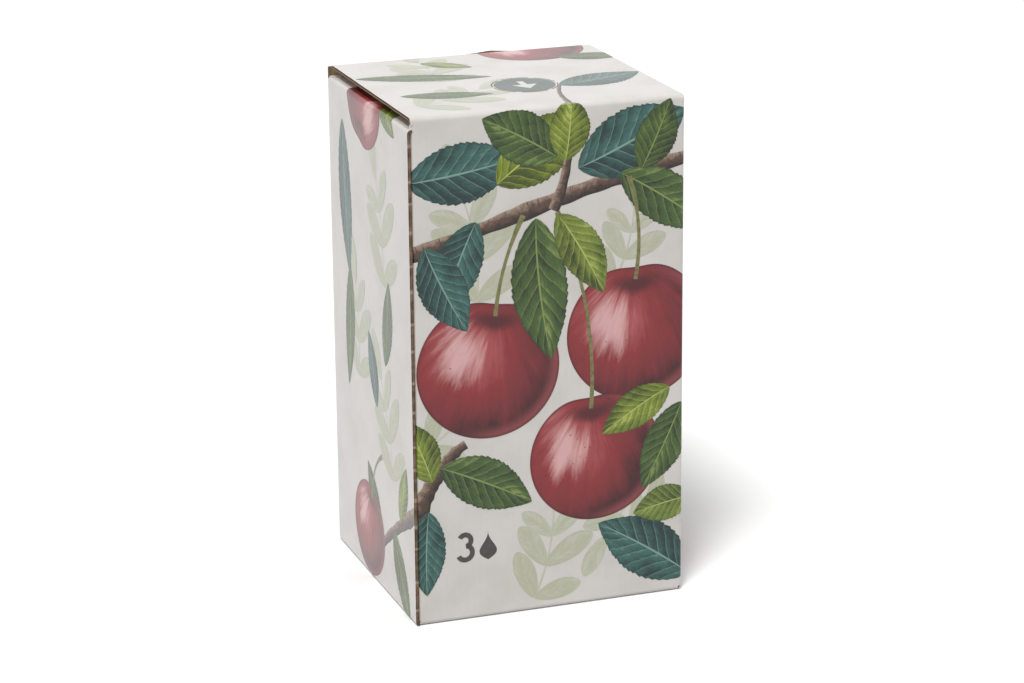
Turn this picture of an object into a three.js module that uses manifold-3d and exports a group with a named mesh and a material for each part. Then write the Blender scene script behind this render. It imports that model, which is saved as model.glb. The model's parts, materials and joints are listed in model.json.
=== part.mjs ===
// A bag in box carton for three litres of juice, as a scene graph of its real pieces: a carton folded from
// one sheet of fine-fluted board with a tuck lid, and inside it the full bag with its spout and press tap.
// Millimetres, +Z up. The origin is the middle of the base, and the printed front faces -Y.
import * as THREE from "three";
import { mergeVertices } from "three/addons/utils/BufferGeometryUtils.js";
import Module from "manifold-3d";

const wasm = await Module();
wasm.setup();

// Clearance between pieces that touch on the real object
const SEAT_GAP = 0.3;

// How far a cutter reaches past the solid that it cuts
const CUT_OVERRUN = 1;

// Carton, outside sizes
const CARTON_WIDTH = 130;
const CARTON_DEPTH = 122;
const CARTON_HEIGHT = 235;
const BOARD = 1.6;
const FOLD_INNER_RADIUS = 0.4;
const FOLD_RADIUS = FOLD_INNER_RADIUS + BOARD;
const FOLD_STEPS = 6;

// Side panels: their top folds lie below the lid, and their dust flaps rise to it
const DUST_FLAP_DROP = 3.4;
const DUST_FLAP_LENGTH = 38;
const DUST_FLAP_TAPER = 9;
const DUST_FLAP_FRONT_GAP = 4;
const DUST_FLAP_REAR_GAP = 5;

// Glue tab of the front panel, stuck to the inside of the left panel
const TAB_LENGTH = 24;
const TAB_TAPER = 8;
const TAB_END_GAP = 5;
const TAB_OVERLAP = 6;
const BOND = 0.05;

// Bottom flaps: the side ones lie on the front and back ones and are glued to them
const BOTTOM_RAMP = 11;
const BOTTOM_MITRE_GAP = 1;
const BOTTOM_SEAM = 1;
const SIDE_FLAP_SEAM = 8;
const BOTTOM_FLAP_INSET = 2;

// Lid
const LID_INSET_LEFT = BOARD + 0.1;
const LID_INSET_RIGHT = 0.6;
const TUCK_GAP = 0.4;
const TONGUE_DEPTH = 22;
const TONGUE_SHOULDER = 3.5;
const TONGUE_TAPER = 7;
const TONGUE_CORNER = 7;

// Tear-out hatch over the tap, cut through but for its nicks
const HATCH_X = 5.5;
const HATCH_Y = -15.5;
const HATCH_DIAMETER = 30;
const HATCH_KERF = 0.5;
const HATCH_NICKS = 6;
const HATCH_NICK_WIDTH = 2.2;
const HATCH_KERF_STEPS = 8;

// Bag
const BAG_HEADROOM = 16;
const BAG_CORNER_RADIUS = 20;
const BAG_EDGE_RADIUS = 17;
const BAG_CROWN = 2;
const BAG_CROWN_KNEE = 0.67;
const BAG_WELL_DEPTH = 16;
const BAG_WELL_MARGIN = 3;
const BAG_WELL_FLARE = 9;
const BAG_ARC_STEPS = 6;
const BAG_SMALLEST_RADIUS = 1;

// Spout welded into the bag's film
const ROUND_STEPS = 40;
const SPOUT_FLANGE_RADIUS = 22;
const SPOUT_FLANGE = 1.2;
const SPOUT_WALL = 2.2;
const SPOUT_HEIGHT = 9.5;
const SPOUT_RIM = 3;
const SPOUT_RIM_THICKNESS = 1.1;
const SPOUT_RIM_PITCH = 3.4;

// Tap
const TAP_BARREL_RADIUS = 11.5;
const TAP_WALL = 1.8;
const TAP_FLANGE = 1.4;
const TAP_FLANGE_LIP = 3.6;
const TAP_HOUSING_HEIGHT = 13.5;
const TAP_SEAT_RADIUS = 5;
const OUTLET_RADIUS = 5;
const OUTLET_BORE = 3.8;
const OUTLET_REACH = 27;
const WING_SPAN = 38;
const WING_DEPTH = 13;
const WING_THICKNESS = 2;

// Button and valve, which move together
const BUTTON_CLEARANCE = 0.4;
const BUTTON_HEIGHT = 3;
const BUTTON_DOME = 1.6;
const DOME_KNEE_RADIUS = 0.7;
const DOME_KNEE_RISE = 0.65;
const BUTTON_TRAVEL = 3.5;
const STEM_RADIUS = 1.8;
const SOCKET_WALL = 1.4;
const SOCKET_DEPTH = 4;
const VALVE_DISC = 1.6;
const SEAL_HEIGHT = 1.2;
const SEAL_OVERLAP = 1.8;

const halfWidth = CARTON_WIDTH / 2;
const halfDepth = CARTON_DEPTH / 2;
const lidUnderside = CARTON_HEIGHT - BOARD;
const sideTop = lidUnderside - DUST_FLAP_DROP;
const wallLow = FOLD_RADIUS;
const wallHigh = sideTop - FOLD_RADIUS;

// A closed geometry as a solid, with its shared corners merged
function solidOf(geometry) {
  const bare = geometry.clone();
  bare.deleteAttribute("normal");
  bare.deleteAttribute("uv");
  const merged = mergeVertices(bare, 1e-4);
  return new wasm.Manifold(
    new wasm.Mesh({
      numProp: 3,
      vertProperties: new Float32Array(merged.attributes.position.array),
      triVerts: new Uint32Array(merged.index.array),
    }),
  );
}

// The geometry of a solid, with a normal for each face
function geometryOf(solid) {
  const { vertProperties, triVerts } = solid.getMesh();
  const shared = new THREE.BufferGeometry();
  shared.setAttribute("position", new THREE.BufferAttribute(vertProperties, 3));
  shared.setIndex(new THREE.BufferAttribute(triVerts, 1));
  const faceted = shared.toNonIndexed();
  faceted.computeVertexNormals();
  return faceted;
}

const join = (solids) => solids.reduce((whole, solid) => whole.add(solid));
const cut = (solid, cutters) => cutters.reduce((left, cutter) => left.subtract(cutter), solid);

const X = new THREE.Vector3(1, 0, 0);
const Y = new THREE.Vector3(0, 1, 0);
const Z = new THREE.Vector3(0, 0, 1);
// Each section plane's two axes, and the direction in which its outline is carried
const PLANES = {
  xy: [X, Y, Z],
  xz: [X, Z, Y.clone().negate()],
  yz: [Y, Z, X],
};

// An outline of points in a section plane, carried along the third axis from one place to another
function prism(outline, plane, from, to) {
  const points = () => outline.map(([a, b]) => new THREE.Vector2(a, b));
  const shape = outline instanceof THREE.Shape ? outline : new THREE.Shape(points());
  const options = { depth: to - from, bevelEnabled: false, curveSegments: FOLD_STEPS };
  const geometry = new THREE.ExtrudeGeometry(shape, options);
  const along = PLANES[plane][2];
  const start = along.x + along.y + along.z > 0 ? from : -to;
  geometry.translate(0, 0, start);
  geometry.applyMatrix4(new THREE.Matrix4().makeBasis(...PLANES[plane]));
  return solidOf(geometry);
}

// A profile of [radius, height] points turned about the Z axis. It starts and ends on the axis, or closes.
function turned(profile, steps = ROUND_STEPS) {
  const points = profile.map(([radius, height]) => new THREE.Vector2(radius, height));
  const onAxis = points[0].x === 0 && points.at(-1).x === 0;
  if (!onAxis) points.push(points[0].clone());
  return solidOf(new THREE.LatheGeometry(points, steps).rotateX(Math.PI / 2));
}

const disc = (radius, low, high) => turned([[0, low], [radius, low], [radius, high], [0, high]]);
const ring = (inner, outer, low, high) => turned([[inner, low], [outer, low], [outer, high], [inner, high]]);

// The section of a folded sheet, seen edge on. It follows the sheet's outer face from a start and a heading.
// side is 1 where the thickness lies to the left of the heading and -1 where it lies to the right. Each step
// is a straight run, then a bend, which is positive where it turns towards the thickness.
function foldedSection([a, b], heading, side, steps) {
  const outer = [];
  const inner = [];
  const mark = () => {
    outer.push([a, b]);
    inner.unshift([a - side * BOARD * Math.sin(heading), b + side * BOARD * Math.cos(heading)]);
  };
  mark();
  for (const { run = 0, bend = 0 } of steps) {
    if (run !== 0) {
      a += run * Math.cos(heading);
      b += run * Math.sin(heading);
      mark();
    }
    if (bend === 0) continue;
    const radius = side * (bend > 0 ? FOLD_RADIUS : -FOLD_INNER_RADIUS);
    const centre = [a - radius * Math.sin(heading), b + radius * Math.cos(heading)];
    const parts = Math.ceil((Math.abs(bend) / (Math.PI / 2)) * FOLD_STEPS);
    for (let part = 0; part < parts; part++) {
      heading += (side * bend) / parts;
      a = centre[0] + radius * Math.sin(heading);
      b = centre[1] - radius * Math.cos(heading);
      mark();
    }
  }
  return [...outer, ...inner];
}

const UP = Math.PI / 2;
const DOWN = -Math.PI / 2;
const FORWARD = -Math.PI / 2;
const SQUARE = Math.PI / 2;
const mirrored = (outline) => outline.map(([a, b]) => [-a, b]);

// The carton's walls in plan: from the glue tab round the front, right, back and left panels. The left panel
// ends in a raw edge beside the fold of the front panel.
function wallSections() {
  const tabFace = -halfWidth + BOARD - BOND;
  const tab = foldedSection([tabFace, -halfDepth + TAB_LENGTH], FORWARD, 1, [
    { run: TAB_LENGTH - FOLD_RADIUS, bend: SQUARE },
    { run: TAB_OVERLAP },
  ]);
  const round = foldedSection([tabFace + FOLD_RADIUS, -halfDepth], 0, 1, [
    { run: halfWidth - tabFace - 2 * FOLD_RADIUS, bend: SQUARE },
    { run: CARTON_DEPTH - 2 * FOLD_RADIUS, bend: SQUARE },
    { run: CARTON_WIDTH - 2 * FOLD_RADIUS, bend: SQUARE },
    { run: CARTON_DEPTH - FOLD_RADIUS },
  ]);
  return { tab, round, tabFace };
}

// The front panel's strip above the side panels' folds, with the fold at its left and right ends
function frontStrip({ tabFace }) {
  const front = foldedSection([tabFace, -halfDepth + FOLD_RADIUS], FORWARD, 1, [
    { bend: SQUARE },
    { run: halfWidth - tabFace - 2 * FOLD_RADIUS, bend: SQUARE },
  ]);
  return prism(front, "xy", wallHigh, CARTON_HEIGHT - FOLD_RADIUS - SEAT_GAP);
}

// The back panel's strip above the side panels' folds, up to its raw top edge
function backStrip() {
  const back = foldedSection([halfWidth, halfDepth - FOLD_RADIUS], UP, 1, [
    { bend: SQUARE },
    { run: CARTON_WIDTH - 2 * FOLD_RADIUS, bend: SQUARE },
  ]);
  return prism(back, "xy", wallHigh, CARTON_HEIGHT);
}

// What is cut away from the dust flaps in plan: room in front for the lid's fold, behind for its tongue, and
// a taper at both ends. x runs from the fold towards the middle.
function dustFlapCutters() {
  const fold = halfWidth - FOLD_RADIUS;
  const end = fold - DUST_FLAP_LENGTH - FOLD_RADIUS;
  const taperFrom = fold - DUST_FLAP_TAPER;
  return [
    [-halfDepth, -halfDepth + DUST_FLAP_FRONT_GAP, 1],
    [halfDepth, halfDepth - DUST_FLAP_REAR_GAP, -1],
  ].map(([panel, edge, inwards]) => [
    [fold, panel],
    [fold, edge],
    [taperFrom, edge],
    [end, edge + inwards * DUST_FLAP_TAPER],
    [end, panel],
  ]);
}

// What is cut away from a bottom side flap in plan, so that it clears the front and back flaps' folds
function sideFlapCutters() {
  const fold = halfWidth - FOLD_RADIUS;
  const end = SIDE_FLAP_SEAM / 2 - FOLD_RADIUS;
  const edge = halfDepth - FOLD_RADIUS;
  const narrow = edge - BOTTOM_RAMP - BOTTOM_MITRE_GAP;
  return [-1, 1].map((facing) => [
    [fold, facing * (halfDepth + BOARD)],
    [fold, facing * (edge - BOTTOM_MITRE_GAP)],
    [fold - BOTTOM_RAMP, facing * narrow],
    [end, facing * narrow],
    [end, facing * (halfDepth + BOARD)],
  ]);
}

// One side of the carton: the top fold with its dust flap, and the bottom fold with its flap, which ramps up
// over the front and back flaps. mirror is 1 for the right side and -1 for the left one.
function sidePanelFlaps(mirror, front) {
  const rise = Math.asin((DUST_FLAP_DROP - SEAT_GAP) / DUST_FLAP_LENGTH);
  const ramp = Math.atan(BOARD / BOTTOM_RAMP);
  const level = halfWidth - FOLD_RADIUS - BOTTOM_RAMP - SIDE_FLAP_SEAM / 2;
  const overlap = 2 * BOARD;
  const top = foldedSection([halfWidth, wallHigh - overlap], UP, 1, [
    { run: overlap, bend: SQUARE - rise },
    { run: DUST_FLAP_LENGTH },
  ]);
  const bottom = foldedSection([halfWidth, wallLow + overlap], DOWN, -1, [
    { run: overlap, bend: SQUARE + ramp },
    { run: BOARD / Math.sin(ramp), bend: -ramp },
    { run: level },
  ]);
  const place = (outline) => (mirror < 0 ? mirrored(outline) : outline);
  const back = halfDepth - FOLD_RADIUS;
  const above = [wallHigh, CARTON_HEIGHT];
  const below = [-BOARD, wallLow + FOLD_RADIUS];
  const topCutters = dustFlapCutters().map((outline) => prism(place(outline), "xy", ...above));
  const bottomCutters = sideFlapCutters().map((outline) => prism(place(outline), "xy", ...below));
  return join([
    cut(prism(place(top), "xz", front, back), topCutters),
    cut(prism(place(bottom), "xz", front, back), bottomCutters),
  ]);
}

// A bottom flap of the front or back panel, with mitred ends. facing is -1 for the front and 1 for the back.
function mainBottomFlap(facing) {
  const overlap = 2 * BOARD;
  const section = foldedSection([-halfDepth, wallLow + overlap], DOWN, 1, [
    { run: overlap, bend: SQUARE },
    { run: halfDepth - FOLD_RADIUS - BOTTOM_SEAM / 2 },
  ]);
  const left = -halfWidth + FOLD_RADIUS;
  const strip = prism(facing < 0 ? section : mirrored(section), "yz", left, -left);
  const narrow = -left - BOTTOM_RAMP - BOTTOM_FLAP_INSET;
  const wide = -left - BOTTOM_FLAP_INSET;
  const shoulder = halfDepth - FOLD_RADIUS;
  const cutters = [-1, 1].map((end) => [
    [end * halfWidth, facing * shoulder],
    [end * wide, facing * shoulder],
    [end * narrow, facing * (shoulder - BOTTOM_RAMP)],
    [end * narrow, 0],
    [end * halfWidth, 0],
  ]);
  return cut(strip, cutters.map((outline) => prism(outline, "xy", -BOARD, FOLD_RADIUS)));
}

// The whole folded sheet but for the lid
function cartonBody() {
  const sections = wallSections();
  const tabLow = wallLow + TAB_END_GAP;
  const tabHigh = wallHigh - TAB_END_GAP;
  const tabEnd = -halfDepth + TAB_LENGTH;
  const tabZone = (low, high, slope) => [
    [tabEnd + BOARD, low],
    [tabEnd + BOARD, high + slope],
    [tabEnd - TAB_TAPER, high],
    [tabEnd - TAB_TAPER - BOARD, high],
    [-halfDepth + FOLD_RADIUS + BOARD, high],
    [-halfDepth + FOLD_RADIUS + BOARD, low],
  ];
  const tab = cut(prism(sections.tab, "xy", wallLow, wallHigh), [
    prism(tabZone(-BOARD, tabLow, TAB_TAPER), "yz", -halfWidth, sections.tabFace + 2 * FOLD_RADIUS),
    prism(tabZone(CARTON_HEIGHT, tabHigh, -TAB_TAPER), "yz", -halfWidth, sections.tabFace + 2 * FOLD_RADIUS),
  ]);
  return join([
    prism(sections.round, "xy", wallLow, wallHigh),
    tab,
    frontStrip(sections),
    backStrip(),
    sidePanelFlaps(-1, -halfDepth),
    sidePanelFlaps(1, -halfDepth + FOLD_RADIUS),
    mainBottomFlap(-1),
    mainBottomFlap(1),
  ]);
}

// The curved slots round the hatch, each between two nicks
function hatchKerfs() {
  const radius = HATCH_DIAMETER / 2;
  const pitch = (2 * Math.PI) / HATCH_NICKS;
  const nick = HATCH_NICK_WIDTH / radius;
  return Array.from({ length: HATCH_NICKS }, (_, index) => {
    const edge = (r, reverse) =>
      Array.from({ length: HATCH_KERF_STEPS + 1 }, (_, step) => {
        const along = reverse ? HATCH_KERF_STEPS - step : step;
        const angle = index * pitch + nick / 2 + ((pitch - nick) * along) / HATCH_KERF_STEPS;
        return [HATCH_X + r * Math.cos(angle), HATCH_Y + halfDepth + r * Math.sin(angle)];
      });
    return [...edge(radius + HATCH_KERF / 2, false), ...edge(radius - HATCH_KERF / 2, true)];
  });
}

// The lid and its tuck tongue, in a frame whose origin is on the fold line at the front top edge. The tongue
// leans inwards so that it swings out past the back panel.
function cartonLid() {
  const reach = CARTON_DEPTH - BOARD - TUCK_GAP;
  const lean = Math.asin((FOLD_RADIUS + TONGUE_DEPTH / 2) / reach);
  const section = foldedSection([0, -FOLD_RADIUS], UP, -1, [
    { bend: SQUARE },
    { run: reach - 2 * FOLD_RADIUS, bend: SQUARE + lean },
    { run: TONGUE_DEPTH },
  ]);
  const left = -halfWidth + LID_INSET_LEFT;
  const right = halfWidth - LID_INSET_RIGHT;
  const tongueBottom = -FOLD_RADIUS - TONGUE_DEPTH;
  const tongue = new THREE.Shape();
  tongue.moveTo(left + TONGUE_SHOULDER, BOARD);
  tongue.lineTo(left + TONGUE_SHOULDER, -FOLD_RADIUS);
  tongue.lineTo(left + TONGUE_SHOULDER + TONGUE_TAPER - TONGUE_CORNER / 2, tongueBottom + TONGUE_CORNER);
  tongue.quadraticCurveTo(left + TONGUE_SHOULDER + TONGUE_TAPER, tongueBottom,
    left + TONGUE_SHOULDER + TONGUE_TAPER + TONGUE_CORNER, tongueBottom);
  tongue.lineTo(right - TONGUE_SHOULDER - TONGUE_TAPER - TONGUE_CORNER, tongueBottom);
  tongue.quadraticCurveTo(right - TONGUE_SHOULDER - TONGUE_TAPER, tongueBottom,
    right - TONGUE_SHOULDER - TONGUE_TAPER + TONGUE_CORNER / 2, tongueBottom + TONGUE_CORNER);
  tongue.lineTo(right - TONGUE_SHOULDER, -FOLD_RADIUS);
  tongue.lineTo(right - TONGUE_SHOULDER, BOARD);
  const zone = [[left - BOARD, tongueBottom - BOARD], [right + BOARD, tongueBottom - BOARD],
    [right + BOARD, BOARD / 2], [left - BOARD, BOARD / 2]];
  const zoneFrom = reach - FOLD_RADIUS;
  const zoneDepth = [zoneFrom - TONGUE_DEPTH * Math.sin(lean), reach + BOARD];
  const belowPlate = prism(zone.map(([x, z]) => [x, Math.min(z, -BOARD)]), "xz", ...zoneDepth);
  const behindPlate = prism(zone, "xz", zoneFrom, reach + BOARD);
  const [tongueFrom, tongueTo] = zoneDepth;
  const kept = prism(tongue, "xz", tongueFrom - CUT_OVERRUN, tongueTo + CUT_OVERRUN);
  const around = belowPlate.add(behindPlate).subtract(kept);
  return cut(prism(section, "yz", left, right), [
    around,
    ...hatchKerfs().map((kerf) => prism(kerf, "xy", -2 * BOARD, BOARD)),
  ]);
}

// One level of the bag: a rectangle with round corners, shrunk all round by inset
function bagRing(halfX, halfY, inset, z) {
  const radius = Math.max(BAG_CORNER_RADIUS - inset, BAG_SMALLEST_RADIUS);
  const points = [];
  for (let corner = 0; corner < 4; corner++) {
    const signX = corner === 0 || corner === 3 ? 1 : -1;
    const signY = corner < 2 ? 1 : -1;
    for (let step = 0; step <= BAG_ARC_STEPS; step++) {
      const angle = (corner + step / BAG_ARC_STEPS) * SQUARE;
      points.push(
        signX * (halfX - inset - radius) + radius * Math.cos(angle),
        signY * (halfY - inset - radius) + radius * Math.sin(angle),
        z,
      );
    }
  }
  return points;
}

// A closed skin over rings of points from the lowest to the highest, with a middle point at each end
function loft(rings, bottom, top) {
  const count = rings[0].length / 3;
  const indices = [];
  const next = (j) => (j + 1) % count;
  rings.slice(1).forEach((_, k) => {
    for (let j = 0; j < count; j++) {
      const [a, b] = [k * count + j, k * count + next(j)];
      indices.push(a, b, b + count, a, b + count, a + count);
    }
  });
  const low = rings.length * count;
  const last = low - count;
  for (let j = 0; j < count; j++) indices.push(low, next(j), j, low + 1, last + j, last + next(j));
  const geometry = new THREE.BufferGeometry();
  const positions = [...rings.flat(), ...bottom, ...top];
  geometry.setAttribute("position", new THREE.Float32BufferAttribute(positions, 3));
  geometry.setIndex(indices);
  return solidOf(geometry);
}

const bagLow = 2 * BOARD + SEAT_GAP;
const bagHigh = lidUnderside - BAG_HEADROOM;
const bagLeft = -halfWidth + 2 * BOARD + SEAT_GAP;
const bagRight = halfWidth - BOARD - SEAT_GAP;
const bagMiddle = (bagLeft + bagRight) / 2;
const wellFloor = bagHigh - BAG_WELL_DEPTH;

// The full bag as one sealed solid that fills the carton, with a well in its top where the spout sits
function bag() {
  const halfX = (bagRight - bagLeft) / 2;
  const halfY = halfDepth - BOARD - SEAT_GAP;
  const rings = [];
  for (let step = 0; step <= BAG_ARC_STEPS; step++) {
    const angle = (step / BAG_ARC_STEPS) * SQUARE;
    rings.push([BAG_EDGE_RADIUS * (1 - Math.sin(angle)), bagLow + BAG_EDGE_RADIUS * (1 - Math.cos(angle))]);
  }
  const shoulder = bagHigh - BAG_CROWN - BAG_EDGE_RADIUS;
  for (let step = 0; step <= BAG_ARC_STEPS; step++) {
    const angle = (step / BAG_ARC_STEPS) * SQUARE;
    rings.push([BAG_EDGE_RADIUS * (1 - Math.cos(angle)), shoulder + BAG_EDGE_RADIUS * Math.sin(angle)]);
  }
  rings.push([2 * BAG_EDGE_RADIUS, bagHigh - BAG_CROWN * (1 - BAG_CROWN_KNEE)]);
  const skin = loft(
    rings.map(([inset, z]) => bagRing(halfX, halfY, inset, z)),
    [0, 0, bagLow],
    [0, 0, bagHigh],
  ).translate([bagMiddle, 0, 0]);
  const wellRadius = SPOUT_FLANGE_RADIUS + BAG_WELL_MARGIN;
  const well = turned([
    [0, wellFloor],
    [wellRadius, wellFloor],
    [wellRadius + BAG_WELL_FLARE, bagHigh + BOARD],
    [0, bagHigh + BOARD],
  ]);
  return skin.subtract(well.translate([HATCH_X, HATCH_Y, 0]));
}

// Heights in the tap's own frame, whose origin is on its axis at the bottom of the spout's flange
const spoutInner = TAP_BARREL_RADIUS + SEAT_GAP;
const spoutOuter = spoutInner + SPOUT_WALL;
const flangeLow = SPOUT_HEIGHT + SEAT_GAP;
const housingLow = flangeLow + TAP_FLANGE;
const housingHigh = housingLow + TAP_HOUSING_HEIGHT;
const housingBore = TAP_BARREL_RADIUS - TAP_WALL;
const buttonRadius = housingBore - BUTTON_CLEARANCE;
const buttonHigh = housingHigh + BUTTON_TRAVEL - BUTTON_DOME;
const buttonLow = buttonHigh - BUTTON_HEIGHT;
const sealTop = flangeLow - SEAT_GAP;
const discTop = sealTop - SEAL_HEIGHT;
const discBottom = discTop - VALVE_DISC;
const sealRadius = TAP_SEAT_RADIUS + SEAL_OVERLAP;

// The spout: a flange on the film and a neck with two gripping rims
function spoutGland() {
  const neck = ring(spoutInner, spoutOuter, 0, SPOUT_HEIGHT);
  const flange = ring(spoutInner, SPOUT_FLANGE_RADIUS, 0, SPOUT_FLANGE);
  const rims = [0, 1].map((index) => {
    const high = SPOUT_HEIGHT - index * SPOUT_RIM_PITCH;
    return ring(spoutInner, spoutOuter + SPOUT_RIM, high - SPOUT_RIM_THICKNESS, high);
  });
  return join([neck, flange, ...rims]);
}

// The tap's body: a barrel that plugs into the neck, a seat, a housing, an outlet and two finger wings
function tapBody() {
  const barrel = ring(housingBore, TAP_BARREL_RADIUS, SPOUT_FLANGE, housingLow);
  const flange = ring(TAP_SEAT_RADIUS, TAP_BARREL_RADIUS + TAP_FLANGE_LIP, flangeLow, housingLow);
  const housing = ring(housingBore, TAP_BARREL_RADIUS, flangeLow, housingHigh);
  const outletHeight = housingLow + OUTLET_RADIUS;
  const outletTube = disc(OUTLET_RADIUS, housingBore + TAP_WALL / 2, OUTLET_REACH);
  const outletBore = disc(OUTLET_BORE, housingBore - TAP_WALL, OUTLET_REACH + CUT_OVERRUN);
  const lay = (solid) => solid.rotate([90, 0, 0]).translate([0, 0, outletHeight]);
  const wing = new THREE.Shape();
  wing.moveTo(-WING_SPAN / 2 + WING_DEPTH / 2, -WING_DEPTH / 2);
  wing.lineTo(WING_SPAN / 2 - WING_DEPTH / 2, -WING_DEPTH / 2);
  wing.absarc(WING_SPAN / 2 - WING_DEPTH / 2, 0, WING_DEPTH / 2, -SQUARE, SQUARE, false);
  wing.lineTo(-WING_SPAN / 2 + WING_DEPTH / 2, WING_DEPTH / 2);
  wing.absarc(-WING_SPAN / 2 + WING_DEPTH / 2, 0, WING_DEPTH / 2, SQUARE, 3 * SQUARE, false);
  const wingHigh = housingHigh - WING_THICKNESS;
  const wings = prism(wing, "xy", wingHigh - WING_THICKNESS, wingHigh);
  const bore = disc(housingBore, housingLow, housingHigh + CUT_OVERRUN);
  return cut(join([barrel, flange, housing, lay(outletTube), wings]), [bore, lay(outletBore)]);
}

// The domed press button with the socket that grips the stem
function tapButton() {
  const cap = turned([
    [0, buttonHigh - TAP_WALL],
    [buttonRadius - TAP_WALL, buttonHigh - TAP_WALL],
    [buttonRadius - TAP_WALL, buttonLow],
    [buttonRadius, buttonLow],
    [buttonRadius, buttonHigh],
    [buttonRadius * DOME_KNEE_RADIUS, buttonHigh + BUTTON_DOME * DOME_KNEE_RISE],
    [0, buttonHigh + BUTTON_DOME],
  ]);
  const socketBore = STEM_RADIUS + SEAT_GAP;
  const socketLow = buttonHigh - TAP_WALL - SOCKET_DEPTH;
  return cap.add(ring(socketBore, socketBore + SOCKET_WALL, socketLow, buttonHigh - TAP_WALL / 2));
}

// The valve: a stem with a disc that carries the seal
function valveStem() {
  const top = buttonHigh - TAP_WALL - SEAT_GAP;
  return turned([
    [0, discBottom],
    [sealRadius, discBottom],
    [sealRadius, discTop],
    [STEM_RADIUS, discTop],
    [STEM_RADIUS, top],
    [0, top],
  ]);
}

// The soft ring between the valve's disc and the seat
const valveSeal = () => ring(STEM_RADIUS + SEAT_GAP, sealRadius, discTop + SEAT_GAP, sealTop);

const finish = (color, roughness) => new THREE.MeshStandardMaterial({ color, roughness, metalness: 0 });
const coatedBoard = finish(0xdedad6, 0.45);
const juiceFilm = finish(0xc88a2c, 0.18);
const redPlastic = finish(0xa8232b, 0.35);
const whitePlastic = finish(0xe9e7e2, 0.4);
const softSeal = finish(0x2c2c2e, 0.7);

function piece(name, solid, material) {
  const mesh = new THREE.Mesh(geometryOf(solid), material);
  mesh.name = name;
  return mesh;
}

const carton = new THREE.Group();
carton.add(piece("carton_body", cartonBody(), coatedBoard));

const lid = piece("carton_lid", cartonLid(), coatedBoard);
lid.position.set(0, -halfDepth, CARTON_HEIGHT);
carton.add(lid);

const filledBag = new THREE.Group();
filledBag.add(piece("bag", bag(), juiceFilm));
const tap = new THREE.Group();
tap.position.set(HATCH_X, HATCH_Y, wellFloor + SEAT_GAP);
tap.add(piece("spout_gland", spoutGland(), whitePlastic));
tap.add(piece("tap_body", tapBody(), whitePlastic));
tap.add(piece("tap_button", tapButton(), redPlastic));
tap.add(piece("valve_stem", valveStem(), whitePlastic));
tap.add(piece("valve_seal", valveSeal(), softSeal));
filledBag.add(tap);

const bagInBox = new THREE.Group();
bagInBox.add(carton, filledBag);

export default bagInBox;
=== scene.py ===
"""The looks of a bag in box carton: printed fine-fluted board, a full film bag and its press tap.

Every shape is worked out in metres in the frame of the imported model. The board is built as it is made: a printed
outer liner, a fluted medium and a kraft inner liner, all folded along the same paths. The print is a set of ink
shapes laid on the outer liner in the flat coordinates of the blank, so that it goes round the folds with it.
"""
import json
import logging
import math
from dataclasses import dataclass, field
from enum import Enum
from typing import Callable, Iterable, Sequence

import bmesh
import bpy
import numpy as np
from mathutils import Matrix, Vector

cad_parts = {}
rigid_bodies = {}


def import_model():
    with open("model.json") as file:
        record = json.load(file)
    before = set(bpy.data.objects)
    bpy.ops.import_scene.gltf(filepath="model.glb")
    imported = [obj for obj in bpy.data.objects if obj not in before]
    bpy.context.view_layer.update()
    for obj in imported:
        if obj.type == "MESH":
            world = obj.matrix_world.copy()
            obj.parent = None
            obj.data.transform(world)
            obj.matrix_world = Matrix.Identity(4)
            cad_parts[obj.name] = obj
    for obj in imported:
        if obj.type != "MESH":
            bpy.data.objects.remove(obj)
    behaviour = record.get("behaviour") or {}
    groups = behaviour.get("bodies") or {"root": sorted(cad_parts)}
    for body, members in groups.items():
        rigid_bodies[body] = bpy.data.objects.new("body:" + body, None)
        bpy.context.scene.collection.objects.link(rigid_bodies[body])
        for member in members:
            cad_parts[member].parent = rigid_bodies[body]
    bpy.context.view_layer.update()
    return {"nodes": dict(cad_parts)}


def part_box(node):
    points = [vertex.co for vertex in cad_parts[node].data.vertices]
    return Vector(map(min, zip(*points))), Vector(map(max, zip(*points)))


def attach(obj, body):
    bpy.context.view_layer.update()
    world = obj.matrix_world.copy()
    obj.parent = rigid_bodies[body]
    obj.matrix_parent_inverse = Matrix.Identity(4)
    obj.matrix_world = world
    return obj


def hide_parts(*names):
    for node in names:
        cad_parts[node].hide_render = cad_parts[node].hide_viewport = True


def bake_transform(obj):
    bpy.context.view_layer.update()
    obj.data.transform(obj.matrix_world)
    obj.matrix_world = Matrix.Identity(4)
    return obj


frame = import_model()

log = logging.getLogger("carton")
MM = 0.001

BODY_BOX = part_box("carton_body")
LID_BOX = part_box("carton_lid")
BAG_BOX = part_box("bag")
HALF_WIDTH = BODY_BOX[1][0]
HALF_DEPTH = BODY_BOX[1][1]
HEIGHT = BODY_BOX[1][2]
BOARD = 1.6 * MM
FOLD_INNER = 0.4 * MM
FOLD_OUTER = FOLD_INNER + BOARD
FLUTE_PITCH = 3.2 * MM
QUARTER = math.pi / 2

# Tolerances in metres: for comparing lengths, for the shortest row of a grid and for joined or cut vertices
HAIR = 1e-9
SHORTEST = 1e-6
WELD = 1e-7

# Flat facets in a round fold
BEND_CUTS = 8


def srgb(red: float, green: float, blue: float) -> tuple[float, float, float, float]:
    """A screen colour from 0 to 255 as a linear one.

    Args:
        red, green, blue: the screen values.

    Returns:
        Linear red, green and blue, and an alpha of 1.
    """
    values = np.array([red, green, blue]) / 255
    linear = np.where(values <= 0.04045, values / 12.92, ((values + 0.055) / 1.055) ** 2.4)
    return (*linear.tolist(), 1.0)


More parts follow.
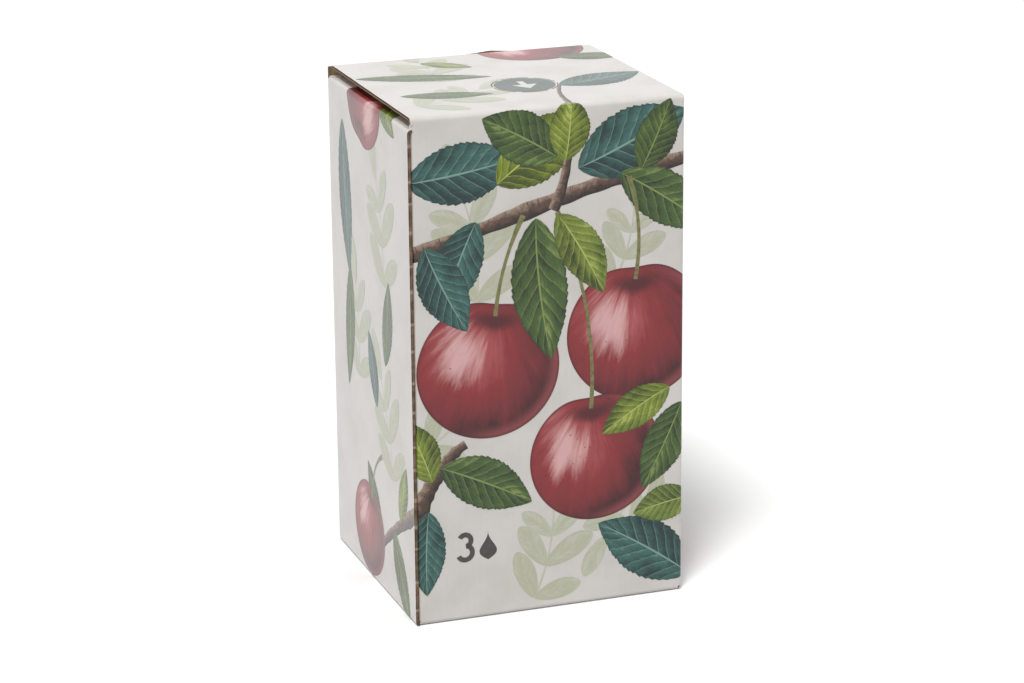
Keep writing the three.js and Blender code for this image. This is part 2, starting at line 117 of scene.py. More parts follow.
def placed(name: str, data: "bpy.types.ID") -> bpy.types.Object:
    """Puts a new object at the origin.

    Args:
        name: its name.
        data: the mesh, lamp or camera that it carries.

    Returns:
        The object.
    """
    made = bpy.data.objects.new(name, data)
    bpy.context.scene.collection.objects.link(made)
    return made


def join(piece: bpy.types.Object, body: str, node: str) -> bpy.types.Object:
    """Joins a piece to its body, or across the lid's crease, and says which solid it stands for.

    Args:
        piece: the piece.
        body: its body, or "crease".
        node: the solid that it replaces.

    Returns:
        The piece.
    """
    if body == "crease":
        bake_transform(piece)
    else:
        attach(piece, body)
    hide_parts(node)
    log.info("%s: %d faces", piece.name, len(piece.data.polygons))
    return piece


# Shader building

class Term:
    """A shader socket in a sum: the operators add Math nodes to its graph."""

    def __init__(self, graph: "Graph", socket: bpy.types.NodeSocket) -> None:
        """Wraps a socket of the graph."""
        self.graph = graph
        self.socket = socket

    def __add__(self, other: "Term | float") -> "Term":
        """self + other."""
        return self.graph.math("ADD", self, other)

    def __radd__(self, other: float) -> "Term":
        """other + self."""
        return self.graph.math("ADD", other, self)

    def __sub__(self, other: "Term | float") -> "Term":
        """self - other."""
        return self.graph.math("SUBTRACT", self, other)

    def __rsub__(self, other: float) -> "Term":
        """other - self."""
        return self.graph.math("SUBTRACT", other, self)

    def __mul__(self, other: "Term | float") -> "Term":
        """self * other."""
        return self.graph.math("MULTIPLY", self, other)

    def __rmul__(self, other: float) -> "Term":
        """other * self."""
        return self.graph.math("MULTIPLY", other, self)

    def __abs__(self) -> "Term":
        """The size of self without its sign."""
        return self.graph.math("ABSOLUTE", self)


class Graph:
    """The node graph of a material or of the world, with one method for every kind of node."""

    def __init__(self, name: str, owner: "bpy.types.ID | None" = None) -> None:
        """Starts the owner's graph afresh, or a new material's of that name.

        Args:
            name: the new material's name.
            owner: a material or world that is there already.
        """
        self.owner = owner or bpy.data.materials.new(name)
        self.owner.use_nodes = True
        self.tree = self.owner.node_tree
        self.tree.nodes.clear()

    def node(self, kind: str, inputs: dict | None = None, settings: dict | None = None,
             stops: Sequence[tuple[float, tuple]] = ()) -> bpy.types.Node:
        """Adds a node.

        Args:
            kind: the node's type name, without "ShaderNode".
            inputs: the values or links of its sockets, by name or number.
            settings: the node's own settings, which are set first.
            stops: a colour ramp's positions and colours.

        Returns:
            The node.
        """
        made = self.tree.nodes.new("ShaderNode" + kind)
        for key, value in (settings or {}).items():
            setattr(made, key, value)
        if stops:
            elements = made.color_ramp.elements
            while len(elements) < len(stops):
                elements.new(0.5)
            for element, (position, colour) in zip(elements, stops):
                element.position, element.color = position, colour
        for key, value in (inputs or {}).items():
            if isinstance(value, Term):
                self.tree.links.new(value.socket, made.inputs[key])
            else:
                made.inputs[key].default_value = value
        return made

    def term(self, made: bpy.types.Node, output: str | int = 0) -> Term:
        """A node's output as a term."""
        return Term(self, made.outputs[output])

    def math(self, operation: str, *values: "Term | float") -> Term:
        """A Math node on those values."""
        return self.term(self.node("Math", dict(enumerate(values)), {"operation": operation}))

    def length(self, x: Term, y: Term) -> Term:
        """The length of a flat vector: the root of x * x + y * y."""
        return self.math("SQRT", x * x + y * y)

    def smooth(self, value: Term, low: float, high: float) -> Term:
        """0 below low and 1 above high, with a smooth step between (low may be above high)."""
        inputs = {"Value": value, "From Min": low, "From Max": high}
        return self.term(self.node("MapRange", inputs, {"interpolation_type": "SMOOTHSTEP"}))

    def mix(self, factor: "Term | float", a: "tuple | Term", b: "tuple | Term") -> Term:
        """A colour between a and b."""
        return self.term(self.node("Mix", {0: factor, 6: a, 7: b}, {"data_type": "RGBA"}), 2)

    def ramp(self, value: Term, stops: Sequence[tuple[float, tuple]]) -> Term:
        """The colour of a ramp at that value."""
        return self.term(self.node("ValToRGB", {0: value}, None, stops))

    def noise(self, vector: Term, scale: float, detail: float = 3.0, rough: float = 0.55) -> Term:
        """Noise from 0 to 1 about 0.5."""
        inputs = {"Vector": vector, "Scale": scale, "Detail": detail, "Roughness": rough}
        return self.term(self.node("TexNoise", inputs), "Fac")

    def uv(self, name: str) -> Term:
        """The piece's own map of that name."""
        return self.term(self.node("UVMap", None, {"uv_map": name}))

    def tone(self) -> Term:
        """The tone that each ink shape carries, from 0 to 1."""
        return self.term(self.node("Attribute", None, {"attribute_name": TONE}), "Fac")

    def split(self, vector: Term) -> tuple[Term, Term]:
        """The first two parts of a vector."""
        made = self.node("SeparateXYZ", {0: vector})
        return self.term(made, 0), self.term(made, 1)

    def vector(self, x: "Term | float", y: "Term | float", z: "Term | float" = 0.0) -> Term:
        """A vector of three parts."""
        return self.term(self.node("CombineXYZ", {0: x, 1: y, 2: z}))

    def objects(self) -> Term:
        """Object coordinates."""
        return self.term(self.node("TexCoord"), "Object")

    def seen(self) -> Term:
        """1 for what the camera and reflections see, else 0."""
        path = self.node("LightPath")
        return self.math("MAXIMUM", self.term(path, "Is Camera Ray"), self.term(path, "Is Glossy Ray"))

    def bump(self, height: Term, distance: float) -> Term:
        """The normal of a relief of that height."""
        return self.term(self.node("Bump", {"Strength": 1.0, "Distance": distance, "Height": height}))

    def end(self, kind: str, inputs: dict, output: str = "OutputMaterial") -> bpy.types.ID:
        """Ends the graph in a shader.

        Args:
            kind: the shader's type name, without "ShaderNode".
            inputs: the values or links of its sockets.
            output: the type name of the output node.

        Returns:
            The graph's owner.
        """
        shader = self.node(kind, inputs)
        self.tree.links.new(shader.outputs[0], self.node(output).inputs[0])
        return self.owner


# Maps that the printed surfaces carry
BLANK = "blank"
MOTIF = "motif"
TONE = "tone"


@dataclass(frozen=True)
class PrintCoat:
    """The satin varnish over every ink: its gloss, and the washboard of the flutes under the liner."""

    roughness: float = 0.32
    coat: float = 0.4
    coat_roughness: float = 0.18
    shine: float = 0.32
    washboard: float = 0.012 * MM
    tooth: float = 0.01 * MM

    def finish(self, graph: Graph, colour: Term) -> bpy.types.Material:
        """Ends an ink's graph.

        Args:
            graph: the ink's graph.
            colour: its colour.

        Returns:
            The material.
        """
        across, along = graph.split(graph.uv(BLANK))
        place = graph.vector(across, along)
        flute = graph.math("SINE", across * (2 * math.pi / FLUTE_PITCH))
        dents, fibre = graph.noise(place, 26.0, 2.0), graph.noise(place, 900.0, 2.0)
        relief = flute * (0.5 + dents) * (self.washboard / MM) + fibre * (self.tooth / MM)
        return graph.end("BsdfPrincipled", {
            "Base Color": colour,
            "Roughness": self.roughness + (graph.noise(place, 60.0) - 0.5) * 0.12,
            "Coat Weight": self.coat,
            "Coat Roughness": self.coat_roughness,
            "Specular IOR Level": self.shine,
            "Normal": graph.bump(relief, MM),
        })


COAT = PrintCoat()


@dataclass(frozen=True)
class LeafInk:
    """A painted leaf. The motif map runs along it from 0 to 1 and across it from -1 to 1; the tone chooses the hue."""

    veins: float = 9.0
    sweep: float = 2.1
    dark: tuple = ((0.0, srgb(22, 36, 16)), (0.5, srgb(20, 50, 48)), (1.0, srgb(62, 76, 12)))
    middle: tuple = ((0.0, srgb(70, 96, 34)), (0.5, srgb(58, 104, 98)), (1.0, srgb(128, 144, 36)))
    light: tuple = ((0.0, srgb(142, 158, 82)), (0.5, srgb(134, 172, 160)), (1.0, srgb(196, 204, 100)))

    def material(self) -> bpy.types.Material:
        """Builds the material: side veins run forward from the midrib, each cell shaded from vein to vein.

        Returns:
            The material.
        """
        graph = Graph("leaf_ink")
        along, across = graph.split(graph.uv(MOTIF))
        tone = graph.tone()
        side = abs(across)
        wander = (graph.noise(graph.vector(along * 5.0, across * 2.0, tone * 9.0), 1.0, 2.0) - 0.5) * 0.5
        phase = along * self.veins - side * self.sweep + side * side * 0.5 + wander
        cell = graph.math("FRACT", phase + 8.0)
        stroke = graph.noise(graph.vector(phase * 3.0, across * 14.0, tone * 5.0), 1.0, 3.0, 0.65)
        wash = graph.noise(graph.vector(along * 2.2, across * 1.1, tone * 13.0), 1.0, 2.0)
        upper = graph.smooth(across, -0.05, 0.12)
        depth = 0.14 + cell * 0.36 + upper * 0.22 + (stroke - 0.5) * 0.7 - side * 0.08 + (wash - 0.5) * 1.3
        body = graph.mix(graph.smooth(depth, 0.05, 0.62), graph.ramp(tone, self.dark), graph.ramp(tone, self.middle))
        lit = graph.mix(graph.smooth(depth, 0.58, 1.05), body, graph.ramp(tone, self.light))
        vein = graph.smooth(graph.math("MINIMUM", cell, 1 - cell), 0.06, 0.015) * (0.65 - side * 0.45)
        rib = graph.smooth(side, 0.045, 0.02)
        line = graph.math("MAXIMUM", vein, rib * 0.9)
        veined = graph.mix(line, lit, graph.ramp(tone, self.light))
        margin = graph.smooth(side, 0.9, 0.985)
        return COAT.finish(graph, graph.mix(margin * 0.55, veined, graph.ramp(tone, self.dark)))


@dataclass(frozen=True)
class GhostInk:
    """A pale sage leaf in the background, with only a hint of veins."""

    pale: tuple = srgb(208, 209, 192)
    shade: tuple = srgb(190, 193, 168)

    def material(self) -> bpy.types.Material:
        """Builds the material.

        Returns:
            The material.
        """
        graph = Graph("ghost_ink")
        along, across = graph.split(graph.uv(MOTIF))
        tone = graph.tone()
        cell = graph.math("FRACT", along * 6.0 - abs(across) * 1.4 + 6.0)
        wash = graph.noise(graph.vector(along * 3.0, across * 2.0, tone * 7.0), 1.0, 2.0)
        rib = graph.smooth(abs(across), 0.05, 0.02)
        amount = graph.smooth(wash + cell * 0.16 + tone * 0.35 - 0.15 + rib * 0.3, 0.2, 0.85)
        return COAT.finish(graph, graph.mix(amount, self.pale, self.shade))


@dataclass(frozen=True)
class FruitInk:
    """A painted cherry. The motif map is its own plane, with the outline at radius 1 and the stem pit above."""

    deep: tuple = srgb(66, 14, 22)
    red: tuple = srgb(146, 44, 48)
    wine: tuple = srgb(124, 38, 44)
    rose: tuple = srgb(186, 92, 94)
    bloom: tuple = srgb(234, 190, 188)
    pit_y: float = 0.72

    def material(self) -> bpy.types.Material:
        """Builds the material: a sphere lit from the upper left, broken by streaks that leave the stem pit.

        Returns:
            The material.
        """
        graph = Graph("fruit_ink")
        x, y = graph.split(graph.uv(MOTIF))
        tone = graph.tone()
        down = y - self.pit_y
        turn = graph.math("ARCTAN2", x, 0.35 - down)
        reach = graph.length(x, down)
        streak = graph.noise(graph.vector(turn * 7.0, reach * 0.9, tone * 11.0), 1.0, 4.0, 0.7)
        blot = graph.noise(graph.vector(x * 1.6, y * 1.6, tone * 17.0), 1.0, 2.0)
        shade = graph.length(x + 0.34, y - 0.22) * 0.82 + (streak - 0.5) * 0.62 + (blot - 0.5) * 0.35
        colour = graph.ramp(shade, ((0.12, self.rose), (0.48, self.red), (0.75, self.wine), (1.0, self.deep)))
        spot = graph.length((x + 0.42) * 1.5, y - 0.18)
        bloom = graph.smooth(spot + (streak - 0.5) * 0.95, 0.56, 0.12)
        colour = graph.mix(bloom * 0.85, colour, self.bloom)
        radius = graph.length(x, y)
        back = graph.smooth(radius, 0.8, 0.97) * graph.smooth(x - y * 0.3, -0.1, 0.6)
        colour = graph.mix(back * 0.45, colour, self.rose)
        pit = graph.smooth(graph.math("SQRT", x * x * 0.35 + down * down * 2.2), 0.3, 0.06)
        colour = graph.mix(pit * 0.85, colour, self.deep)
        speckle = graph.node("TexVoronoi", {"Vector": graph.vector(x, y, tone * 3.0), "Scale": 9.0, "Randomness": 1.0})
        dot = graph.smooth(graph.term(speckle, "Distance"), 0.16, 0.09) * graph.smooth(blot, 0.45, 0.6)
        colour = graph.mix(dot * 0.6, colour, self.deep)
        edge = graph.smooth(radius, 0.955, 0.99)
        return COAT.finish(graph, graph.mix(edge * 0.5, colour, self.deep))


@dataclass(frozen=True)
class BarkInk:
    """A painted twig: dark below, pale along its upper edge, with rings and flecks of bark."""

    dark: tuple = srgb(40, 28, 24)
    brown: tuple = srgb(96, 72, 60)
    pale: tuple = srgb(182, 158, 140)

    def material(self) -> bpy.types.Material:
        """Builds the material. The motif map runs along the twig in centimetres and across it from -1 to 1.

        Returns:
            The material.
        """
        graph = Graph("bark_ink")
        along, across = graph.split(graph.uv(MOTIF))
        fleck = graph.noise(graph.vector(along * 3.0, across * 1.2), 1.0, 4.0, 0.7)
        ring = graph.smooth(graph.noise(graph.vector(along * 9.0, across * 0.4), 1.0, 1.0), 0.56, 0.68)
        height = across * 0.42 + (fleck - 0.5) * 1.1 + 0.45
        body = graph.ramp(height, ((0.12, self.dark), (0.5, self.brown), (0.95, self.pale)))
        return COAT.finish(graph, graph.mix(ring * 0.55, body, self.dark))


@dataclass(frozen=True)
class FlatInk:
    """A coat or ink of one colour that noise shades a little."""

    name: str
    colour: tuple
    grain: tuple
    scale: float = 420.0
    detail: float = 3.0
    full: float = 0.75

    def material(self) -> bpy.types.Material:
        """Builds the material.

        Returns:
            The material.
        """
        graph = Graph(self.name)
        amount = graph.smooth(graph.noise(graph.uv(BLANK), self.scale, self.detail), 0.35, self.full)
        return COAT.finish(graph, graph.mix(amount, self.colour, self.grain))


@dataclass(frozen=True)
class Kraft:
    """Bare kraft paper: brown with long fibres and darker specks."""

    name: str
    base: tuple = srgb(164, 134, 104)
    fibre: tuple = srgb(142, 112, 84)
    nick: tuple = srgb(196, 172, 150)
    nicks: float = 0.0
    nick_pitch: float = 13.5 * MM

    def material(self) -> bpy.types.Material:
        """Builds the material. Where the blade skipped on a cut edge, pale nicks and stains stand up the edge.

        Returns:
            The material.
        """
        graph = Graph(self.name)
        place = graph.objects()
        stretched = graph.term(graph.node("Mapping", {"Vector": place, "Scale": (900.0, 900.0, 200.0)}))
        fibres = graph.noise(stretched, 1.0, 4.0, 0.7)
        specks = graph.smooth(graph.noise(place, 2200.0, 2.0), 0.64, 0.72)
        colour = graph.mix(graph.smooth(fibres, 0.35, 0.7) * 0.7 + specks * 0.3, self.base, self.fibre)
        if self.nicks:
            height = graph.term(graph.node("SeparateXYZ", {0: place}), 2)
            line = graph.vector(0.0, 0.0, height)
            stain = graph.smooth(graph.noise(line, 170.0, 2.0), 0.42, 0.62)
            wave = graph.math("SINE", height * (2 * math.pi / self.nick_pitch) + graph.noise(line, 40.0, 1.0) * 9.0)
            colour = graph.mix(stain * (self.nicks * 0.4), colour, self.nick)
            colour = graph.mix(graph.smooth(wave, 0.9, 0.985) * self.nicks, colour, self.nick)
        relief = graph.bump(fibres, 0.03 * MM)
        return graph.end("BsdfPrincipled", {"Base Color": colour, "Roughness": 0.85, "Normal": relief})


class Finish(Enum):
    """Every finish of the carton's own pieces, in the order of their material slots on a printed piece."""

    GROUND = "ground"
    KRAFT = "kraft"
    GHOST = "ghost"
    BARK = "bark"
    LEAF = "leaf"
    FRUIT = "fruit"
    STEM = "stem"
    DISC = "disc"
    MARK = "mark"
    WHITE = "white"
    MEDIUM = "medium"
    EDGE = "edge"


def carton_finishes() -> dict[Finish, bpy.types.Material]:
    """Builds every finish of the carton once.

    Returns:
        A material for each finish.
    """
    return {
        Finish.GROUND: FlatInk("ground_coat", srgb(226, 222, 218), srgb(216, 211, 205), 38.0, 4.0, 0.7).material(),
        Finish.KRAFT: Kraft("kraft_liner").material(),
        Finish.GHOST: GhostInk().material(),
        Finish.BARK: BarkInk().material(),
        Finish.LEAF: LeafInk().material(),
        Finish.FRUIT: FruitInk().material(),
        Finish.STEM: FlatInk("stem_ink", srgb(132, 134, 82), srgb(104, 96, 58)).material(),
        Finish.DISC: FlatInk("disc_ink", srgb(66, 86, 78), srgb(74, 96, 88)).material(),
        Finish.MARK: FlatInk("mark_ink", srgb(70, 66, 64), srgb(80, 76, 74)).material(),
        Finish.WHITE: FlatInk("white_ink", srgb(226, 224, 220), srgb(218, 215, 210)).material(),
        Finish.MEDIUM: Kraft("fluting", srgb(126, 106, 84), srgb(86, 70, 54), nicks=0.8).material(),
        Finish.EDGE: Kraft("cut_edge", srgb(98, 70, 52), srgb(62, 42, 30), nicks=0.9).material(),
    }


# Folded sheets

def directions(heading: np.ndarray | float) -> tuple[np.ndarray, np.ndarray]:
    """Unit vectors along headings in radians, (cos, sin), and to their left, (-sin, cos)."""
    cos, sin = np.cos(heading), np.sin(heading)
    return np.stack([cos, sin], -1), np.stack([-sin, cos], -1)


def lengths(points: np.ndarray) -> np.ndarray:
    """How far along a line of points each of them lies."""
    return np.concatenate([[0], np.cumsum(np.hypot(*np.diff(points, axis=0).T))])


@dataclass(frozen=True)
class Step:
    """A straight run along a sheet's outer face, then a bend, positive where it turns towards the thickness."""

    run: float = 0.0
    bend: float = 0.0


class FoldPath:
    """The section of a folded sheet, followed on its outer face.

    The path is a list of straight and round stretches. A point at length s and depth d lies on the stretch that
    holds s: on a straight one it is start + t * ahead, and on a round one start + radius * (left - turned), where
    turned is the left at that point; it is then moved d along the normal into the thickness.
    """

    def __init__(self, start: tuple[float, float], heading: float, side: int, steps: Sequence[Step],
                 zero: float = 0.0) -> None:
        """Works out the stretches.

        Args:
            start: the first point of the outer face.
            heading: the first heading, in radians.
            side: 1 where the thickness lies to the left of the heading, -1 to the right.
            steps: the runs and bends.
            zero: the length along the path that counts as 0.
        """
        self.side = side
        rows, point, length = [], np.array(start, float), -zero
        for step in steps:
            ahead, left = directions(heading)
            if step.run:
                rows.append((length, *point, heading, 0.0))
                point = point + step.run * ahead
                length += step.run
            if step.bend:
                radius = side * (FOLD_OUTER if step.bend > 0 else -FOLD_INNER)
                rows.append((length, *point, heading, radius))
                heading += side * step.bend
                point = point + radius * (left - directions(heading)[1])
                length += abs(radius * step.bend)
        self.rows = np.array(rows)
        self.low, self.high = -zero, length

    def at(self, length: np.ndarray, depth: np.ndarray | float) -> np.ndarray:
        """Points at those lengths and depths.

        Args:
            length: lengths along the outer face.
            depth: depths below it.

        Returns:
            An array of two section coordinates for each.
        """
        length = np.asarray(length, float)
        row = self.rows[np.clip(np.searchsorted(self.rows[:, 0], length, "right") - 1, 0, len(self.rows) - 1)]
        travel = length - row[..., 0]
        bent = row[..., 4] != 0
        radius = np.where(bent, row[..., 4], 1.0)
        ahead, left = directions(row[..., 3])
        turned = directions(row[..., 3] + np.where(bent, travel / radius, 0.0))[1]
        straight = row[..., 1:3] + travel[..., None] * ahead
        arc = row[..., 1:3] + radius[..., None] * (left - turned)
        return np.where(bent[..., None], arc, straight) + np.asarray(depth)[..., None] * self.side * turned

    def stations(self, low: float, high: float, spacing: float) -> np.ndarray:
        """Lengths from low to high at which the path needs a row: its stretches' ends, each bend cut finely.

        Args:
            low, high: the two ends.
            spacing: the widest step on a straight stretch.

        Returns:
            The lengths in order.
        """
        ends = [*self.rows[:, 0], self.high]
        marks = {low, high}
        for row, end in zip(self.rows, ends[1:]):
            count = BEND_CUTS if row[4] else max(1, math.ceil((min(end, high) - max(row[0], low)) / spacing))
            first, last = (row[0], end) if row[4] else (max(row[0], low), min(end, high))
            if last > first:
                marks.update(np.linspace(first, last, count + 1).tolist())
        kept = sorted(mark for mark in marks if low - HAIR <= mark <= high + HAIR)
        return np.array([kept[0]] + [b for a, b in zip(kept, kept[1:]) if b - a > SHORTEST])

    def creases(self, low: float, high: float) -> list[float]:
        """The lengths at which ink shapes are cut, so that they follow the bends.

        Args:
            low, high: the stretch that the inks lie on.

        Returns:
            The lengths inside that stretch.
        """
        bent = [(row[0], end) for row, end in zip(self.rows, [*self.rows[1:, 0], self.high]) if row[4]]
        marks = [mark for a, b in bent for mark in np.linspace(a, b, BEND_CUTS + 1)]
        return [mark for mark in marks if low + SHORTEST < mark < high - SHORTEST]


class Facing(Enum):
    """The four panels: the direction each faces, and the one to its right seen from outside."""

    FRONT = ((0.0, -1.0), (1.0, 0.0))
    RIGHT = ((1.0, 0.0), (0.0, 1.0))
    BACK = ((0.0, 1.0), (-1.0, 0.0))
    LEFT = ((-1.0, 0.0), (0.0, -1.0))

    def place(self, right: np.ndarray, out: np.ndarray, up: np.ndarray) -> np.ndarray:
        """Points of the panel's own axes in the row frame: right, outwards and up."""
        (out_x, out_y), (right_x, right_y) = self.value
        return np.stack([right * right_x + out * out_x, right * right_y + out * out_y, up + 0 * right], -1)


# The back panel's torn top edge: where and how widely it stands proud, and its ripple in radians per metre
PROUD_MIDDLE = -14 * MM
PROUD_WIDTH = 9 * MM
TEAR_WAVES = 210

Edges = Callable[[np.ndarray], tuple[np.ndarray, np.ndarray]]


@dataclass
class Patch:
    """A stretch of one panel's strip of the blank, in flat coordinates: p to the right and q along the strip.

    A wall patch bends across (its path is in plan); a flap patch bends along (its path is in section). Its edges
    give the lowest and highest p at each q. Each slant is a place on a slanting edge and the way out across it,
    where the print is cut.
    """

    facing: Facing
    path: FoldPath
    wall: bool
    p_range: tuple[float, float]
    q_range: tuple[float, float]
    edges: Edges | None = None
    sink: float = 0.0
    slants: tuple = ()
    body: str = "carton"

    def place(self, p: np.ndarray, q: np.ndarray, depth: np.ndarray | float) -> np.ndarray:
        """Points of the patch. A wall's top edge may sink, by up to sink, but for a proud bell-shaped stretch.

        Args:
            p, q: flat coordinates.
            depth: depth below the outer face.

        Returns:
            Their places in the row frame.
        """
        if self.wall:
            section = self.path.at(p, depth)
            height = np.clip((q - self.q_range[0]) / np.ptp(self.q_range), 0, 1)
            proud = np.exp(-((p - PROUD_MIDDLE) / PROUD_WIDTH) ** 2) + 0.12 * np.sin(p * TEAR_WAVES)
            return self.facing.place(section[..., 0], section[..., 1], q - self.sink * height * (1 - proud))
        section = self.path.at(q, depth)
        return self.facing.place(p, section[..., 0], section[..., 1])

    def grid(self, spacing: float, fine: float = 0.0) -> tuple[np.ndarray, np.ndarray]:
        """Flat coordinates of a grid over the patch.

        Args:
            spacing: the widest step on flat stretches.
            fine: a closer step across, or 0.

        Returns:
            p and q, each of rows by columns.
        """
        if self.wall:
            p = self.path.stations(*self.p_range, fine or spacing)
            q = np.linspace(*self.q_range, math.ceil(np.ptp(self.q_range) / spacing) + 1)
        else:
            p = np.linspace(*self.p_range, math.ceil(np.ptp(self.p_range) / (fine or spacing)) + 1)
            q = self.path.stations(*self.q_range, spacing)
        across, along = np.meshgrid(p, q)
        if self.edges:
            low, high = self.edges(along)
            share = (across - self.p_range[0]) / np.ptp(self.p_range)
            across = low + (high - low) * share
        return across, along


@dataclass
class MeshData:
    """Vertices, faces and what each face corner and face carries, gathered before a mesh is made."""

    vertices: list = field(default_factory=list)
    faces: list = field(default_factory=list)
    slots: list = field(default_factory=list)
    blank: list = field(default_factory=list)
    motif: list = field(default_factory=list)
    tone: list = field(default_factory=list)
    smooth: list = field(default_factory=list)
    count: int = 0

    def add(self, vertices: np.ndarray, faces: Sequence[Sequence[int]], slot: int, blank: np.ndarray,
            motif: np.ndarray | None = None, tone: float = 0.0, smooth: bool = True) -> None:
        """Adds some faces.

        Args:
            vertices: their places.
            faces: numbers into vertices.
            slot: their material slot.
            blank, motif: each vertex's flat coordinates and its place in the motif.
            tone: the motif's tone.
            smooth: whether they are shaded smooth.
        """
        motif = np.zeros_like(blank) if motif is None else motif
        self.vertices.append(vertices)
        self.faces.extend([[index + self.count for index in face] for face in faces])
        self.slots.extend([slot] * len(faces))
        self.smooth.extend([smooth] * len(faces))
        flat = np.array([index for face in faces for index in face], int)
        self.blank.append(blank[flat])
        self.motif.append(motif[flat])
        self.tone.append(np.full(len(flat), tone))
        self.count += len(vertices)

    def build(self, name: str, materials: Iterable[bpy.types.Material]) -> bpy.types.Object:
        """Makes the mesh and its object at the origin.

        Args:
            name: the mesh's and the object's name.
            materials: the finishes by slot.

        Returns:
            The object.
        """
        mesh = bpy.data.meshes.new(name)
        mesh.from_pydata(np.concatenate(self.vertices).tolist(), [], self.faces)
        mesh.polygons.foreach_set("material_index", self.slots)
        mesh.polygons.foreach_set("use_smooth", self.smooth)
        for layer, values in ((BLANK, self.blank), (MOTIF, self.motif)):
            mesh.uv_layers.new(name=layer).data.foreach_set("uv", np.concatenate(values).ravel())
        tone = mesh.attributes.new(TONE, "FLOAT", "CORNER")
        tone.data.foreach_set("value", np.concatenate(self.tone))
        for material in materials:
            mesh.materials.append(material)
        mesh.validate()
        return placed(name, mesh)


def grid_faces(index: np.ndarray, flip: bool = False) -> list[list[int]]:
    """The quads between neighbours in a grid of vertex numbers."""
    quads = np.stack([index[:-1, :-1], index[:-1, 1:], index[1:, 1:], index[1:, :-1]], -1).reshape(-1, 4)
    return (quads[:, ::-1] if flip else quads).tolist()


def rim_faces(index: np.ndarray) -> list[list[int]]:
    """Quads that join the border of a grid of vertex numbers to that of the same grid numbered on after it."""
    loop, other = [*index[0, :-1], *index[:-1, -1], *index[-1, :0:-1], *index[:0:-1, 0]], index.size
    return [[b, a, a + other, b + other] for a, b in zip(loop, loop[1:] + loop[:1])]


def add_slab(data: MeshData, patch: Patch, p: np.ndarray, q: np.ndarray, near: np.ndarray | float,
             far: np.ndarray | float, slots: tuple[int, int, int]) -> None:
    """Adds a closed layer of board: its outer face at depth near, its inner face at depth far and its rim.

    Args:
        data: the mesh being gathered.
        patch: the patch that the layer follows.
        p, q: flat coordinates of the grid.
        near, far: the two depths, alike all over or one for each grid point.
        slots: material slots of the outer face, the inner face and the rim.
    """
    index = np.arange(p.size).reshape(p.shape)
    blank = np.stack([p, q], -1).reshape(-1, 2)
    outer = patch.place(p, q, near + 0 * p).reshape(-1, 3)
    inner = patch.place(p, q, far + 0 * p).reshape(-1, 3)
    data.add(outer, grid_faces(index), slots[0], blank)
    data.add(inner, grid_faces(index, flip=True), slots[1], blank)
    data.add(np.concatenate([outer, inner]), rim_faces(index), slots[2], np.concatenate([blank, blank]), smooth=False)


@dataclass(frozen=True)
class Layers:
    """The depths of the board's three papers."""

    outer: float = 0.26 * MM
    inner: float = 0.24 * MM
    medium: float = 0.2 * MM

    def wave(self, across: np.ndarray) -> tuple[np.ndarray, np.ndarray]:
        """Depths of the medium's two faces: its middle is a sine of the flute pitch that touches both liners.

        Args:
            across: places across the flutes.

        Returns:
            The depths of its outer and its inner face there.
        """
        middle = (self.outer + BOARD - self.inner) / 2
        swing = (BOARD - self.outer - self.inner - self.medium) / 2
        depth = middle + swing * np.sin(2 * math.pi * across / FLUTE_PITCH)
        return depth - self.medium / 2, depth + self.medium / 2


LAYERS = Layers()

# The outer liner lies COVER below the board's outline, and each ink that laps another stands INK_STEP higher, or
# only WELD higher once it is as near the outline as LEAST_COVER
COVER = 0.14 * MM
INK_STEP = 0.012 * MM
LEAST_COVER = 0.005 * MM

# Lengths on the blank: half and whole of a round fold, where the strips start and end, half of each flat panel
# between its folds, and the front panel's left end, where the glue tab begins
HALF_ARC = QUARTER / 2 * FOLD_OUTER
FULL_ARC = QUARTER * FOLD_OUTER
WALL_LOW = FOLD_OUTER
WALL_HIGH = 228.0 * MM
LID_START = HEIGHT - FOLD_OUTER
TAB_END = 37.0 * MM
FLAT_WIDTH = 63 * MM
FLAT_DEPTH = 59 * MM
FRONT_LEFT = -61.45 * MM - FULL_ARC


def panel_offset(facing: Facing) -> float:
    """How far round the blank a panel's middle lies from the front panel's."""
    step = (HALF_WIDTH + HALF_DEPTH - 2 * FOLD_OUTER) + 2 * HALF_ARC
    return step * list(Facing).index(facing)


# Ink shapes, in the flat coordinates of the blank and in millimetres

# Teeth along each side of a leaf
TEETH = 18


@dataclass(frozen=True)
class Shape:
    """An ink shape as a grid of points with a motif map."""

    points: np.ndarray
    motif: np.ndarray
    finish: Finish
    tone: float = 0.0


def spine(points: Sequence[tuple[float, float]], count: int) -> tuple[np.ndarray, np.ndarray]:
    """A smooth curve through some points: a cubic in each coordinate over the chord length.

    Args:
        points: the points.
        count: how many places to return.

    Returns:
        Places on the curve and the unit normals to its left.
    """
    given = np.array(points, float)
    chord = lengths(given)
    degree = min(3, len(given) - 1)
    at = np.linspace(0, chord[-1], count)
    line = np.stack([np.polyval(np.polyfit(chord, given[:, axis], degree), at) for axis in (0, 1)], -1)
    tangent = np.gradient(line, axis=0)
    tangent /= np.linalg.norm(tangent, axis=1, keepdims=True)
    return line, tangent[:, ::-1] * (-1, 1)


